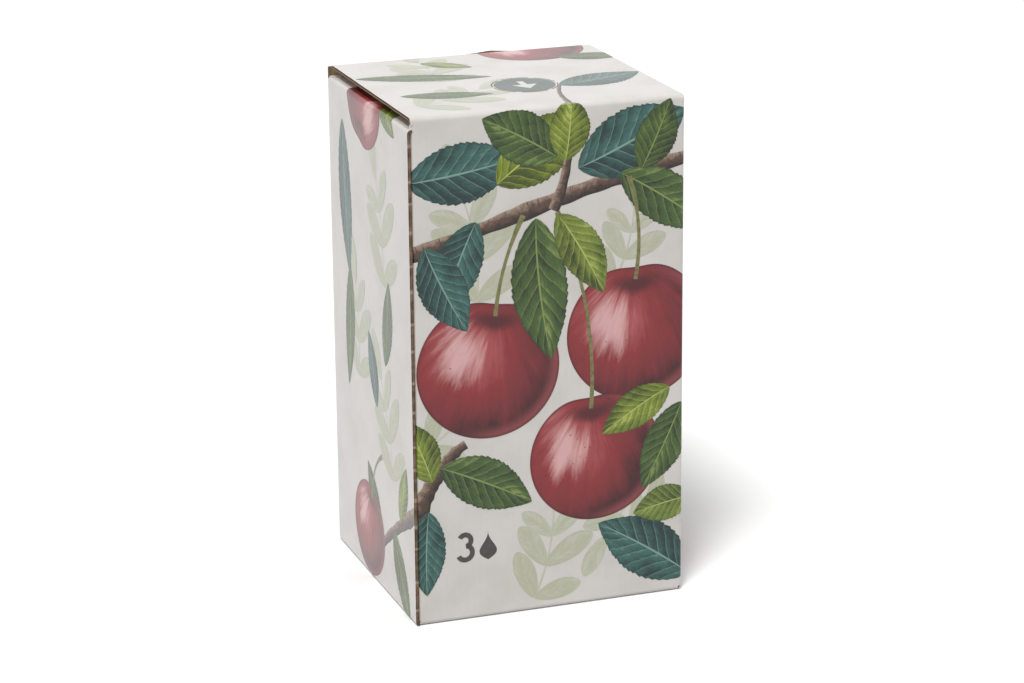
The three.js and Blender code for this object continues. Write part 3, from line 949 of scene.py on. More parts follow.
def leaf(x: float, y: float, angle: float, length: float, width: float, tone: float = 0.0, curl: float = 0.12,
         finish: Finish = Finish.LEAF) -> Shape:
    """A pointed leaf with a toothed margin.

    A point is rib(s) + t * half(s) * normal: the rib bends by curl, and the half width is a skewed sine of s
    that swells and drops back once for each tooth.

    Args:
        x, y: its foot.
        angle: its direction in degrees.
        length, width: its size.
        tone: its hue, from 0 to 1.
        curl: the bend of its rib.
        finish: its ink.

    Returns:
        The shape.
    """
    s = np.linspace(0, 1, 4 * TEETH + 1)[:, None]
    t = np.linspace(-1, 1, 9)[None, :]
    ahead, aside = directions(math.radians(angle))
    skew, fullness, notch = (1.1, 0.55, 0.0) if finish is Finish.GHOST else (0.82, 0.85, 0.07)
    half = width / 2 * np.sin(math.pi * s ** skew) ** fullness * (1 - notch * (s * TEETH % 1)) * (1 - 0.15 * s)
    lift = curl * length * (s ** 1.6 - s)
    forward = s * length + 0.06 * length * np.abs(t) * np.sin(math.pi * s)
    points = np.array([x, y]) + forward[..., None] * ahead + (lift + t * half)[..., None] * aside
    return Shape(points, np.stack(np.broadcast_arrays(s, t), -1), finish, tone)


def fruit(x: float, y: float, radius: float, lean: float, tone: float) -> Shape:
    """A round fruit with a dip at its stem.

    The square grid (u, v) is drawn on a disc by x = u * sqrt(1 - v * v / 2) and y = v * sqrt(1 - u * u / 2); the
    radius drops in a narrow bell at the top.

    Args:
        x, y: its middle.
        radius: its radius.
        lean: its turn in degrees, clockwise.
        tone: its shade, from 0 to 1.

    Returns:
        The shape.
    """
    side = np.linspace(-1, 1, 29)
    u, v = np.meshgrid(side, side)
    disc = np.stack([u * np.sqrt(1 - v * v / 2), v * np.sqrt(1 - u * u / 2)], -1)
    bearing = np.arctan2(disc[..., 0], disc[..., 1])
    dip = 1 - 0.07 * np.exp(-(bearing / 0.3) ** 2) - 0.02 * np.cos(2 * bearing)
    return Shape(np.array([x, y]) + radius * (disc * dip[..., None]) @ directions(math.radians(lean)), disc,
                 Finish.FRUIT, tone)


def stroke(points: Sequence[tuple[float, float]], widths: Sequence[float], finish: Finish, knots: float = 0.0,
           count: int = 60) -> Shape:
    """A band along a curve, its half width read off widths, with a swelling at each knot.

    Args:
        points: places on the curve.
        widths: widths at even steps along it.
        finish: its ink.
        knots: how far a knot swells.
        count: the number of rows.

    Returns:
        The shape.
    """
    line, normal = spine(points, count)
    s = np.linspace(0, 1, count)
    half = np.interp(s, np.linspace(0, 1, len(widths)), widths) / 2
    half = half * (1 + knots * np.maximum(np.sin(s * 23), 0) ** 6 + knots * 0.3 * np.sin(s * 71))
    t = np.linspace(-1, 1, 5)
    grid = line[:, None] - (half[:, None] * t)[..., None] * normal[:, None]
    return Shape(grid, np.stack(np.broadcast_arrays(lengths(line)[:, None] / 10, -t[None, :]), -1), finish)


def arc(x: float, y: float, radius: float, start: float, end: float, width: float, finish: Finish) -> Shape:
    """A band of that width along a circle, from one angle to another in degrees.

    Args:
        x, y, radius: the circle.
        start, end: the two angles, clockwise from the left.
        width: the band's width.
        finish: its ink.

    Returns:
        The shape.
    """
    turn = np.radians(np.linspace(start, end, 33))[:, None]
    reach = radius + np.linspace(-0.5, 0.5, 3)[None, :] * width
    points = np.stack([x - reach * np.cos(turn), y + reach * np.sin(turn)], -1)
    return Shape(points, np.stack(np.broadcast_arrays(turn, reach / radius), -1), finish)


def blob(x: float, y: float, radius: float, finish: Finish) -> Shape:
    """A flat round spot, on the same grid as a fruit."""
    made = fruit(x, y, radius, 0, 0)
    return Shape(np.array([x, y]) + radius * made.motif, made.motif, finish)


def cherry(x: float, y: float, radius: float, top: tuple[float, float], tone: float) -> list[Shape]:
    """A fruit that hangs from a twig at top by its long stem.

    Args:
        x, y, radius: the fruit.
        top: where the stem leaves the twig.
        tone: the fruit's shade.

    Returns:
        The fruit and its stem.
    """
    lean = math.degrees(math.atan2(x - top[0], top[1] - y)) * 0.6
    turn = math.radians(lean)
    pit = (x - math.sin(turn) * radius * 0.74, y + math.cos(turn) * radius * 0.74)
    bend = ((pit[0] + top[0]) / 2 + (x - top[0]) * 0.16 + 2, (pit[1] + top[1]) / 2 + 5)
    return [fruit(x, y, radius, lean, tone), stroke([top, bend, pit], (2.6, 1.5, 1.5, 2.0), Finish.STEM)]


def ghost_spray(x: float, y: float, angle: float, size: float) -> list[Shape]:
    """A pale sprig: a thin bent stem with round leaves on both sides and one at its end.

    Args:
        x, y: its foot.
        angle: its direction in degrees.
        size: its length.

    Returns:
        The stem and the leaves.
    """
    ahead, aside = directions(math.radians(angle))
    nodes = [np.array([x, y]) + size * (share * ahead + 0.22 * share ** 2 * aside) for share in (0, 0.4, 0.75, 1.05)]
    shapes = [stroke([tuple(node) for node in nodes], (1.4, 1.0, 0.8), Finish.GHOST)]
    pairs = ((0, 46, 0.62), (0, -52, 0.58), (1, 58, 0.6), (1, -34, 0.66), (2, 74, 0.48), (2, -22, 0.52), (3, 24, 0.6))
    for index, spread, share in pairs:
        length, tone = size * share, 0.15 + share * 0.9 - index * 0.12
        curl = 0.1 if spread > 0 else -0.1
        shapes.append(leaf(*nodes[index], angle + spread, length, length * 0.44, tone, curl, Finish.GHOST))
    return shapes


# The middle of the lid's plate, up the front's strip
LID_Y = (HEIGHT - FOLD_OUTER + FULL_ARC + HALF_DEPTH - FOLD_OUTER) / MM


def front_print() -> list[Shape]:
    """The front panel's fruit branch, from the back to the top layer.

    Returns:
        The ink shapes, in order.
    """
    branch = [(-70, 170), (-36, 188), (4, 186), (36, 200), (70, 212), (104, 208)]
    return [
        *ghost_spray(-34, 150, 84, 44), *ghost_spray(-8, 6, 64, 40), *ghost_spray(54, 60, 214, 36),
        *ghost_spray(-58, 84, 30, 34), *ghost_spray(30, 150, 60, 34),
        leaf(-66, 206, 8, 54, 30, 0.5), leaf(-24, 202, 34, 50, 31, 1.0, -0.1),
        stroke(branch, (6.4, 6.2, 7.2, 6.6, 6.4, 1.6), Finish.BARK, 0.24, 110),
        stroke([(2, 188), (9, 206), (10, 230), (14, 254), (21, 275)], (5.0, 3.8, 3.0, 2.2, 1.4), Finish.BARK, 0.2),
        leaf(14, 206, 24, 56, 33, 0.5, 0.1), leaf(4, 212, 150, 40, 26, 0.03), leaf(8, 210, 84, 30, 21, 0.97),
        leaf(34, 202, -34, 52, 26, 0.03, -0.14), leaf(-34, 186, -112, 44, 24, 0.5, 0.12),
        *cherry(-29, 118, 33, (-12, 187), 0.1), *cherry(42, 128, 33, (38, 200), 0.45),
        leaf(-6, 185, -84, 66, 29, 0.03, 0.16), leaf(-58, 176, -64, 44, 24, 0.5),
        *cherry(22, 71, 31, (4, 187), 0.75),
        leaf(4, 186, -60, 44, 22, 0.94, -0.16), leaf(44, 203, 66, 34, 21, 0.0),
        leaf(58, 100, -150, 38, 20, 0.96, 0.12), leaf(64, 92, -116, 44, 22, 0.03, -0.1),
        stroke([(-72, 40), (-60, 60), (-50, 76), (-40, 84)], (11, 8.5, 6.2, 4), Finish.BARK, 0.22),
        leaf(-52, 74, -26, 48, 26, 0.04, -0.1), leaf(-56, 68, 112, 32, 19, 0.95), leaf(-58, 54, -92, 40, 20, 0.5, 0.1),
        leaf(68, 8, 146, 54, 30, 0.5, 0.12), leaf(70, 46, 190, 30, 19, 0.9),
    ]


def lid_print() -> list[Shape]:
    """The lid's leaves, the dark disc over the hatch with its arrow, and the hatch's cut line.

    Returns:
        The ink shapes, in order.
    """
    x, y, m = 5.5, LID_Y - 15.5, LID_Y
    return [
        *ghost_spray(-52, m - 40, 20, 40), *ghost_spray(-30, m + 6, 70, 40),
        leaf(-62, m + 24, -16, 62, 15, 0.03, 0.05), leaf(-54, m - 18, -12, 42, 14, 0.04),
        leaf(-24, m + 46, -40, 26, 12, 0.95), leaf(20, m - 22, 18, 46, 25, 0.5, 0.1),
        stroke([(14, m + 62), (34, m + 40), (64, m + 34)], (3, 4, 5), Finish.BARK, 0.2),
        fruit(34, m + 58, 26, 30, 0.3), leaf(40, m + 36, -10, 34, 17, 0.0), blob(x, y, 14, Finish.DISC),
        # The hatch's cut line is painted, as the board is not cut here: thin bands in the fluting's colour stand for
        # the bare fluting at the cut and for the painted shade in the slit.
        *[arc(x, y, 15, 60 * turn + 5, 60 * turn + 55, 0.5, Finish.MEDIUM) for turn in range(6)],
        stroke([(x, y + 7.5), (x, y - 1)], (3.0, 3.0), Finish.WHITE, count=6),
        stroke([(x, y + 0.5), (x, y - 7.5)], (12.0, 0.2), Finish.WHITE, count=6),
    ]


def capacity_print() -> list[Shape]:
    """The plain numeral 3 and a small drop, in dark grey."""
    taper = 8.4 * np.sin(np.linspace(0, math.pi, 24) ** 1.9 / math.pi ** 0.9)
    return [arc(-41, 38.2, 2.8, 30, 262, 2.3, Finish.MARK), arc(-41, 32.4, 3.4, 98, 335, 2.3, Finish.MARK),
            stroke([(-30, 41.5), (-30, 27.8)], tuple(np.maximum(taper, 0.1)), Finish.MARK, count=48)]


def side_print(m: float) -> list[Shape]:
    """A side panel's print, about the panel's middle: hanging leaves, one fruit and pale sprays.

    Args:
        m: where the panel's middle lies on the blank.

    Returns:
        The ink shapes, in order.
    """
    twig = [(m - 8, -4), (m + 12, 22), (m + 34, 38), (m + 66, 56), (m + 92, 80)]
    return [
        *ghost_spray(m + 22, 150, 88, 44), *ghost_spray(m + 30, 60, 96, 42), *ghost_spray(m - 20, 96, 80, 40),
        leaf(m - 38, 214, -84, 74, 20, 0.5, 0.1), leaf(m - 30, 146, -96, 60, 15, 0.03, -0.1),
        leaf(m + 22, 112, 80, 42, 16, 0.04), leaf(m + 8, 88, 108, 36, 14, 0.5),
        stroke(twig, (3, 4, 6, 8, 2.4), Finish.BARK, 0.2),
        leaf(m + 10, 22, 118, 40, 16, 0.0), leaf(m + 30, 36, -60, 46, 18, 0.03), leaf(m + 40, 44, 70, 30, 14, 0.95),
        *cherry(m - 8, 24, 23, (m + 14, 66), 0.6),
        fruit(m - 4, 232, 25, 160, 0.2), leaf(m + 14, 242, -36, 34, 15, 0.9),
    ]


def back_print(m: float) -> list[Shape]:
    """The back panel's print, about its middle: one hanging pair and a few leaves.

    Args:
        m: where the panel's middle lies on the blank.

    Returns:
        The ink shapes, in order.
    """
    branch = [(m - 100, 190), (m - 70, 206), (m - 30, 214), (m + 10, 206), (m + 64, 216)]
    return [
        *ghost_spray(m - 20, 60, 90, 44), *ghost_spray(m + 34, 150, 110, 40),
        stroke(branch, (1.6, 5, 6, 5, 1.6), Finish.BARK, 0.22, 110),
        leaf(m - 20, 212, -150, 46, 25, 0.5), leaf(m + 14, 208, 30, 44, 24, 0.02), leaf(m - 4, 208, 130, 30, 16, 0.95),
        *cherry(m - 22, 134, 27, (m - 6, 208), 0.3), *cherry(m + 30, 116, 27, (m + 2, 207), 0.85),
        leaf(m + 4, 206, -58, 44, 20, 0.9), leaf(m - 50, 40, 30, 52, 27, 0.04), leaf(m + 56, 26, 130, 44, 24, 0.5),
    ]


def whole_print() -> list[Shape]:
    """Every ink shape of the blank in order."""
    left, right, back = (panel_offset(facing) / MM for facing in (Facing.LEFT, Facing.RIGHT, Facing.BACK))
    return [*front_print(), *lid_print(), *capacity_print(), *side_print(left), *side_print(right), *back_print(back)]


def clip(shape: Shape, patch: Patch, offset: float) -> tuple[np.ndarray, np.ndarray, list[list[int]]] | None:
    """Cuts a shape to a patch and splits it at the patch's bends.

    Args:
        shape: the shape, in millimetres of the blank.
        patch: the patch.
        offset: where the patch's panel lies on the blank.

    Returns:
        Flat points in metres of the panel, their motif map and the faces, or None where nothing is left.
    """
    flat = (shape.points * MM - np.array([offset, 0])).reshape(-1, 2)
    motif = shape.motif.reshape(-1, 2)
    (left, right), (low, high) = patch.p_range, patch.q_range
    if (flat.max(0) < (left, low)).any() or (flat.min(0) > (right, high)).any():
        return None
    faces = grid_faces(np.arange(len(flat)).reshape(shape.points.shape[:2]))
    mesh = bpy.data.meshes.new("shape")
    mesh.from_pydata(np.column_stack([flat, np.zeros(len(flat))]).tolist(), [], faces)
    mesh.uv_layers.new(name=MOTIF).data.foreach_set("uv", motif[np.array(faces).ravel()].ravel())
    work = bmesh.new()
    work.from_mesh(mesh)
    sides = [((left, 0), (-1, 0)), ((right, 0), (1, 0)), ((0, low), (0, -1)), ((0, high), (0, 1)), *patch.slants]
    cuts = [(point, way, True) for point, way in sides]
    creases = patch.path.creases(*(patch.p_range if patch.wall else patch.q_range))
    cuts += [((at, 0), (1, 0), False) if patch.wall else ((0, at), (0, 1), False) for at in creases]
    for point, way, clear in cuts:
        bmesh.ops.bisect_plane(work, geom=work.verts[:] + work.edges[:] + work.faces[:], dist=WELD,
                               plane_co=(*point, 0), plane_no=(*way, 0), clear_outer=clear)
    empty = not work.faces
    work.to_mesh(mesh)
    work.free()
    if empty:
        bpy.data.meshes.remove(mesh)
        return None
    places, corners = np.empty(len(mesh.vertices) * 3), np.empty(len(mesh.loops), int)
    maps, starts = np.empty(len(mesh.loops) * 2), np.empty(len(mesh.polygons), int)
    mesh.vertices.foreach_get("co", places)
    mesh.loops.foreach_get("vertex_index", corners)
    mesh.uv_layers[MOTIF].data.foreach_get("uv", maps)
    mesh.polygons.foreach_get("loop_start", starts)
    kept = np.zeros((len(mesh.vertices), 2))
    kept[corners] = maps.reshape(-1, 2)
    bpy.data.meshes.remove(mesh)
    return places.reshape(-1, 3)[:, :2], kept, [part.tolist() for part in np.split(corners, starts[1:])]


def add_print(data: MeshData, patch: Patch, shapes: Sequence[Shape]) -> None:
    """Lays the ink shapes that meet a patch on it, each above the ones before it that it may cover.

    Args:
        data: the mesh being gathered.
        patch: the patch.
        shapes: the whole print, in order.
    """
    offset = panel_offset(patch.facing)
    laid: list[tuple[np.ndarray, np.ndarray, int]] = []
    for shape in shapes:
        cut = clip(shape, patch, offset)
        if cut is None:
            continue
        flat, motif, faces = cut
        low, high = flat.min(0), flat.max(0)
        layer = 1 + max((layer for a, b, layer in laid if (a < high).all() and (b > low).all()), default=0)
        laid.append((low, high, layer))
        depth = max(COVER - layer * INK_STEP, LEAST_COVER - layer * WELD)
        places = patch.place(flat[:, 0], flat[:, 1], depth)
        corners = places[faces[0][:3]]
        out = patch.place(flat[faces[0][:1], 0], flat[faces[0][:1], 1], -MM)[0] - corners[0]
        turned = float(np.dot(np.cross(corners[1] - corners[0], corners[2] - corners[0]), out)) < 0
        faces = [face[::-1] for face in faces] if turned else faces
        data.add(places, faces, list(Finish).index(shape.finish), flat + np.array([offset, 0]), motif, shape.tone)


# The blank's patches

def ending(steps: Sequence[Step], heading: float, end: tuple[float, float], length: float) -> FoldPath:
    """A path placed by its end.

    Args:
        steps: the runs and bends.
        heading: the first heading, in radians.
        end: where the path ends.
        length: what its length counts as there.

    Returns:
        The path.
    """
    trial = FoldPath((0.0, 0.0), heading, 1, steps)
    last = trial.at(np.array(trial.high - 1e-12), 0.0)
    return FoldPath((end[0] - last[0], end[1] - last[1]), heading, 1, steps, trial.high - length)


def wall_path(facing: Facing) -> FoldPath:
    """A wall's path in plan. Each panel owns half of the round fold at its corners.

    The front's left fold is whole and goes on as the glue tab; the left panel ends in its raw edge.

    Args:
        facing: the panel.

    Returns:
        The path, its length measured from the panel's middle.
    """
    side, out = (HALF_WIDTH, HALF_DEPTH) if facing in (Facing.FRONT, Facing.BACK) else (HALF_DEPTH, HALF_WIDTH)
    flat = side - FOLD_OUTER
    if facing is Facing.FRONT:
        face = -HALF_WIDTH + BOARD - 0.05 * MM
        tab = out - FOLD_OUTER - TAB_END
        steps = [Step(tab, QUARTER), Step(flat - face - FOLD_OUTER, QUARTER)]
        return FoldPath((face, TAB_END), QUARTER, -1, steps, tab + FULL_ARC - face - FOLD_OUTER)
    slant = math.sqrt(0.5) * FOLD_OUTER
    start = (-flat - slant, out - FOLD_OUTER + slant)
    if facing is Facing.LEFT:
        return FoldPath(start, QUARTER / 2, -1, [Step(0, QUARTER / 2), Step(flat + side)], HALF_ARC + flat)
    return FoldPath(start, QUARTER / 2, -1, [Step(0, QUARTER / 2), Step(2 * flat, QUARTER / 2)], HALF_ARC + flat)


def strip_path() -> FoldPath:
    """The path in plan of the back's strip above the side folds, with whole folds at both ends.

    Returns:
        The path, its length measured from the panel's middle.
    """
    flat = HALF_WIDTH - FOLD_OUTER
    steps = [Step(0, QUARTER), Step(2 * flat, QUARTER)]
    return FoldPath((-HALF_WIDTH, HALF_DEPTH - FOLD_OUTER), QUARTER, -1, steps, FULL_ARC + flat)


def narrowed(stations: Sequence[float], lows: Sequence[float], highs: Sequence[float]) -> Edges:
    """Edges read off straight lines between stations along the strip."""
    return lambda q: (np.interp(q, stations, lows), np.interp(q, stations, highs))


@dataclass(frozen=True)
class Blank:
    """Cuts the sheet into patches, with the sizes that only the cut needs."""

    tab_heights: tuple = (7 * MM, 15 * MM, 215 * MM, 223 * MM)
    tab_taper: float = 8 * MM
    back_sink: float = 1.3 * MM
    step_in: float = 0.05 * MM
    dust_reach: float = 38 * MM
    dust_rise: float = math.asin(3.1 / 38)
    bottom_reach: float = 58.5 * MM
    bottom_ramp: float = 11 * MM
    seam: float = 1.2 * MM
    lid_reach: float = 120 * MM
    tongue_drop: float = 22 * MM

    def walls(self) -> dict[str, list[Patch]]:
        """The four panels, the strips above the side folds, and the glue tab.

        Returns:
            The patches by piece.
        """
        front, back = wall_path(Facing.FRONT), wall_path(Facing.BACK)
        wide, deep, rise = FLAT_WIDTH + HALF_ARC, FLAT_DEPTH + HALF_ARC, (WALL_LOW, WALL_HIGH)
        folded = FLAT_WIDTH + FULL_ARC
        tab = FRONT_LEFT - (HALF_DEPTH - FOLD_OUTER - TAB_END)
        taper = narrowed(self.tab_heights, [tab + self.tab_taper, tab, tab, tab + self.tab_taper], [FRONT_LEFT] * 4)
        return {
            "front": [Patch(Facing.FRONT, front, True, (FRONT_LEFT, wide), rise),
                      Patch(Facing.FRONT, front, True, (FRONT_LEFT, folded), (WALL_HIGH, LID_START - self.seam)),
                      Patch(Facing.FRONT, front, True, (tab, FRONT_LEFT), self.tab_heights[::3], taper)],
            "right": [Patch(Facing.RIGHT, wall_path(Facing.RIGHT), True, (-deep, deep), rise)],
            "back": [Patch(Facing.BACK, back, True, (-wide, wide), rise),
                     Patch(Facing.BACK, strip_path(), True, (-folded, folded), (WALL_HIGH, HEIGHT),
                           sink=self.back_sink)],
            "left": [Patch(Facing.LEFT, wall_path(Facing.LEFT), True, (-deep, HALF_DEPTH), rise)],
        }

    def dust_flap(self, facing: Facing) -> Patch:
        """A dust flap: past its round fold it steps in, rises a little inwards and tapers to its free edge.

        Args:
            facing: the side panel that carries it.

        Returns:
            The patch.
        """
        steps = [Step(0, QUARTER - self.dust_rise), Step(self.dust_reach)]
        path = FoldPath((HALF_WIDTH, WALL_HIGH), QUARTER, 1, steps, -WALL_HIGH)
        fold = WALL_HIGH + (QUARTER - self.dust_rise) * FOLD_OUTER
        shoulder, free = fold + 7 * MM, fold + self.dust_reach
        root = 61 if facing is Facing.LEFT else 59
        front, back = np.array([root, root, 57, 57, 48]) * MM, np.array([59, 59, 56, 56, 47]) * MM
        lows, highs = (-back, front) if facing is Facing.LEFT else (-front, back)
        edges = narrowed((WALL_HIGH, fold, fold + self.step_in, shoulder, free), lows, highs)
        slants = (((highs[3], shoulder), (31, 9)), ((lows[3], shoulder), (-31, 9)))
        return Patch(facing, path, False, (min(lows), max(highs)), (WALL_HIGH, free), edges, slants=slants)

    def bottom_flap(self, facing: Facing) -> Patch:
        """A bottom flap. Those of the sides lie above the other two, and step up on to them by a short ramp.

        Args:
            facing: the panel that carries it.

        Returns:
            The patch.
        """
        if facing in (Facing.FRONT, Facing.BACK):
            path = ending([Step(self.bottom_reach, QUARTER)], 0.0, (HALF_DEPTH, WALL_LOW), WALL_LOW)
            fold = path.low + self.bottom_reach
            left = right = np.array([50, 50, 61, 63, 63]) * MM
        else:
            ramp = math.atan(BOARD / self.bottom_ramp)
            steps = [Step(HALF_WIDTH - FOLD_OUTER - 15 * MM, -ramp), Step(BOARD / math.sin(ramp), QUARTER + ramp)]
            path = ending(steps, 0.0, (HALF_WIDTH, WALL_LOW), WALL_LOW)
            fold = path.high - FULL_ARC
            left = np.array([47, 47, 58, 59, 59]) * MM
            right = np.array([47, 47, 58, 61, 61]) * MM if facing is Facing.LEFT else left
        marks = (path.low, fold - 11 * MM, fold, fold + self.step_in, path.high)
        edges = narrowed(marks, -left, right)
        return Patch(facing, path, False, (-left.max(), right.max()), (path.low, WALL_LOW), edges)

    def lid(self) -> dict[str, list[Patch]]:
        """The lid's plate, with a slight waver in its raw left edge, its round-cornered tongue, and its crease.

        Returns:
            The patches by piece.
        """
        flat = self.lid_reach - 2 * FOLD_OUTER
        lean = math.asin((FOLD_OUTER + 11 * MM) / self.lid_reach)
        steps = [Step(0, QUARTER), Step(flat, QUARTER + lean), Step(self.tongue_drop)]
        path = FoldPath((HALF_DEPTH, LID_START), QUARTER, 1, steps, -LID_START)
        steps = [Step(LID_START - WALL_HIGH, QUARTER), Step(9 * MM)]
        crease = FoldPath((HALF_DEPTH, WALL_HIGH), QUARTER, 1, steps, -WALL_HIGH)
        left, right = LID_BOX[0][0], LID_BOX[1][0]
        seam, bend = LID_START + self.seam, LID_START + FULL_ARC + flat
        root = bend + (QUARTER + lean) * FOLD_OUTER
        waver = 0.12 * MM * np.array([0.0, 1.0, 0.3, 1.4, 0.2, 0.8, 0.1, 1.2, 0.5, 1.0, 0.0])
        plate = narrowed(np.linspace(seam, bend, len(waver)), left + waver, np.full(len(waver), right))
        u = np.linspace(0, 1, 9)
        drop = root + (15 * (1 - u) ** 2 + 44 * u * (1 - u) + 22 * u ** 2) * MM
        inset = np.array([3.5, 3.5, *(7 * (1 - u) ** 2 + 21 * u * (1 - u) + 17.5 * u ** 2)]) * MM
        tongue = narrowed([bend, root, *drop], left + inset, right - inset)
        wide, front = (left, right), Facing.FRONT
        return {"lid": [Patch(front, path, False, wide, (seam, bend), plate, body="lid"),
                        Patch(front, path, False, wide, (bend, root + self.tongue_drop), tongue, body="lid")],
                "crease": [Patch(front, crease, False, wide, (LID_START - self.seam, seam), body="crease")]}

    def groups(self) -> dict[str, list[Patch]]:
        """Every patch of the board by the piece that it belongs to."""
        dust = {f"{facing.name.lower()}_dust": [self.dust_flap(facing)] for facing in (Facing.LEFT, Facing.RIGHT)}
        return {**self.walls(), **dust, "bottom": [self.bottom_flap(facing) for facing in Facing], **self.lid()}


@dataclass
class Carton:
    """The folded board: printed liners by panel, one fluting and one inner liner for the body and for the lid."""

    spacing: float = 8 * MM
    flute_step: float = 0.4 * MM
    flute_run: float = 60 * MM
    finishes: dict[Finish, bpy.types.Material] = field(default_factory=carton_finishes)

    def settle(self, data: MeshData, name: str, finishes: Sequence[Finish], patch: Patch) -> None:
        """Makes a piece of the board and joins it to its body and solid."""
        piece = data.build(name, [self.finishes[finish] for finish in finishes])
        join(piece, patch.body, "carton_lid" if patch.body == "lid" else "carton_body")

    def liner(self, name: str, patches: Sequence[Patch], shapes: Sequence[Shape]) -> None:
        """The printed outer liner of some patches, with its inks.

        Args:
            name: the piece's name.
            patches: the patches.
            shapes: the whole print.
        """
        data, finishes = MeshData(), list(Finish)
        slots = tuple(finishes.index(finish) for finish in (Finish.GROUND, Finish.KRAFT, Finish.EDGE))
        for patch in patches:
            add_slab(data, patch, *patch.grid(self.spacing), COVER, LAYERS.outer + COVER, slots)
            add_print(data, patch, shapes)
        self.settle(data, name, finishes, patches[0])

    def core(self, name: str, patches: Sequence[Patch]) -> None:
        """The fluting and the inner liner of some patches.

        Args:
            name: what both pieces' names start with.
            patches: the patches.
        """
        fluting, inner = MeshData(), MeshData()
        for patch in patches:
            p, q = patch.grid(self.flute_run, self.flute_step)
            near, far = LAYERS.wave(p)
            add_slab(fluting, patch, p, q, near + COVER / 2, far + COVER / 2, (0, 0, 0))
            add_slab(inner, patch, *patch.grid(self.spacing), BOARD - LAYERS.inner, BOARD, (0, 0, 1))
        self.settle(fluting, f"{name}_fluting", [Finish.MEDIUM], patches[0])
        self.settle(inner, f"{name}_inner_liner", [Finish.KRAFT, Finish.EDGE], patches[0])

    def build(self) -> None:
        """Makes every piece of the board."""
        groups = Blank().groups()
        shapes = whole_print()
        for name, patches in groups.items():
            self.liner(f"{name}_liner", patches, shapes)
        body = [patch for patches in groups.values() for patch in patches if patch.body == "carton"]
        self.core("carton", body)
        self.core("lid", groups["lid"])
        self.core("crease", groups["crease"])


# The filled bag and its tap

def grid_object(name: str, points: np.ndarray, material: bpy.types.Material, ring: bool = True) -> bpy.types.Object:
    """A closed surface of rows by columns whose columns close into a ring.

    Args:
        name: the object's name.
        points: rows by columns by 3.
        material: its finish.
        ring: whether the last row joins the first; otherwise both end rows are capped.

    Returns:
        The object.
    """
    index = np.arange(points[..., 0].size).reshape(points.shape[:2])
    caps = [] if ring else [index[0, ::-1].tolist(), index[-1].tolist()]
    index = np.concatenate([index, index[:, :1]], 1)
    index = np.concatenate([index, index[:1]], 0) if ring else index
    mesh = bpy.data.meshes.new(name)
    mesh.from_pydata(points.reshape(-1, 3).tolist(), [], grid_faces(index) + caps)
    mesh.polygons.foreach_set("use_smooth", [True] * len(mesh.polygons))
    work = bmesh.new()
    work.from_mesh(mesh)
    bmesh.ops.remove_doubles(work, verts=work.verts[:], dist=WELD)
    bmesh.ops.recalc_face_normals(work, faces=work.faces[:])
    work.to_mesh(mesh)
    work.free()
    mesh.materials.append(material)
    return placed(name, mesh)


def lathe(name: str, centre: tuple[float, float, float], profile: Sequence[tuple[float, float]],
          material: bpy.types.Material) -> bpy.types.Object:
    """A closed profile of (radius r, height z) in millimetres, its corners rounded, turned about an upright axis.

    A point is centre + (r * cos a, r * sin a, z).

    Args:
        name: the piece's name.
        centre: the foot of the axis.
        profile: the corners of the section.
        material: its finish.

    Returns:
        The piece.
    """
    radius, height = np.array(rounded(profile)).T[..., None] * MM
    angle = np.linspace(0, 2 * math.pi, 96, endpoint=False)
    points = np.stack([radius * np.cos(angle), radius * np.sin(angle), height + 0 * angle], -1)
    return grid_object(name, points + np.array(centre), material)


def rounded(profile: Sequence[tuple[float, float]], size: float = 0.35) -> list[tuple[float, float]]:
    """A closed profile with each corner off the axis cut twice, so that it looks round when it is smooth.

    Args:
        profile: the corners, (radius, height).
        size: how far from a corner the cut starts.

    Returns:
        The corners of the cut profile.
    """
    points = np.array(profile, float)
    made: list[tuple[float, float]] = []
    for before, point, after in zip(np.roll(points, 1, 0), points, np.roll(points, -1, 0)):
        if point[0] <= 0:
            made.append(tuple(point))
            continue
        back, ahead = before - point, after - point
        near = min(size, np.linalg.norm(back) / 2.2, np.linalg.norm(ahead) / 2.2)
        a, b = point + back / np.linalg.norm(back) * near, point + ahead / np.linalg.norm(ahead) * near
        made += [tuple(a), tuple((a + b) / 4 + point / 2), tuple(b)]
    return made


@dataclass(frozen=True)
class Film:
    """The clear film over amber juice, with creases and a fine haze."""

    juice: tuple = srgb(176, 112, 34)
    bright: tuple = srgb(214, 162, 82)

    def material(self) -> bpy.types.Material:
        """Builds the material.

        Returns:
            The material.
        """
        graph = Graph("juice_film")
        place = graph.objects()
        folds = graph.noise(place, 34.0, 5.0, 0.6)
        haze = graph.smooth(folds, 0.42, 0.66)
        relief = graph.noise(place, 60.0, 4.0, 0.6)
        return graph.end("BsdfPrincipled", {
            "Base Color": graph.mix(haze, self.juice, self.bright), "Roughness": 0.14 + haze * 0.12,
            "Coat Weight": 0.6, "Coat Roughness": 0.08, "Normal": graph.bump(relief, 0.9 * MM)})


@dataclass(frozen=True)
class Moulded:
    """Moulded plastic or rubber with a fine sparked texture."""

    name: str
    colour: tuple
    shade: tuple
    roughness: float = 0.38

    def material(self) -> bpy.types.Material:
        """Builds the material.

        Returns:
            The material.
        """
        graph = Graph(self.name)
        place = graph.objects()
        grain = graph.noise(place, 2600.0, 2.0)
        flow = graph.smooth(graph.noise(place, 120.0, 3.0), 0.3, 0.7)
        return graph.end("BsdfPrincipled", {
            "Base Color": graph.mix(flow, self.colour, self.shade),
            "Roughness": self.roughness + (grain - 0.5) * 0.12, "Normal": graph.bump(grain, 0.02 * MM)})


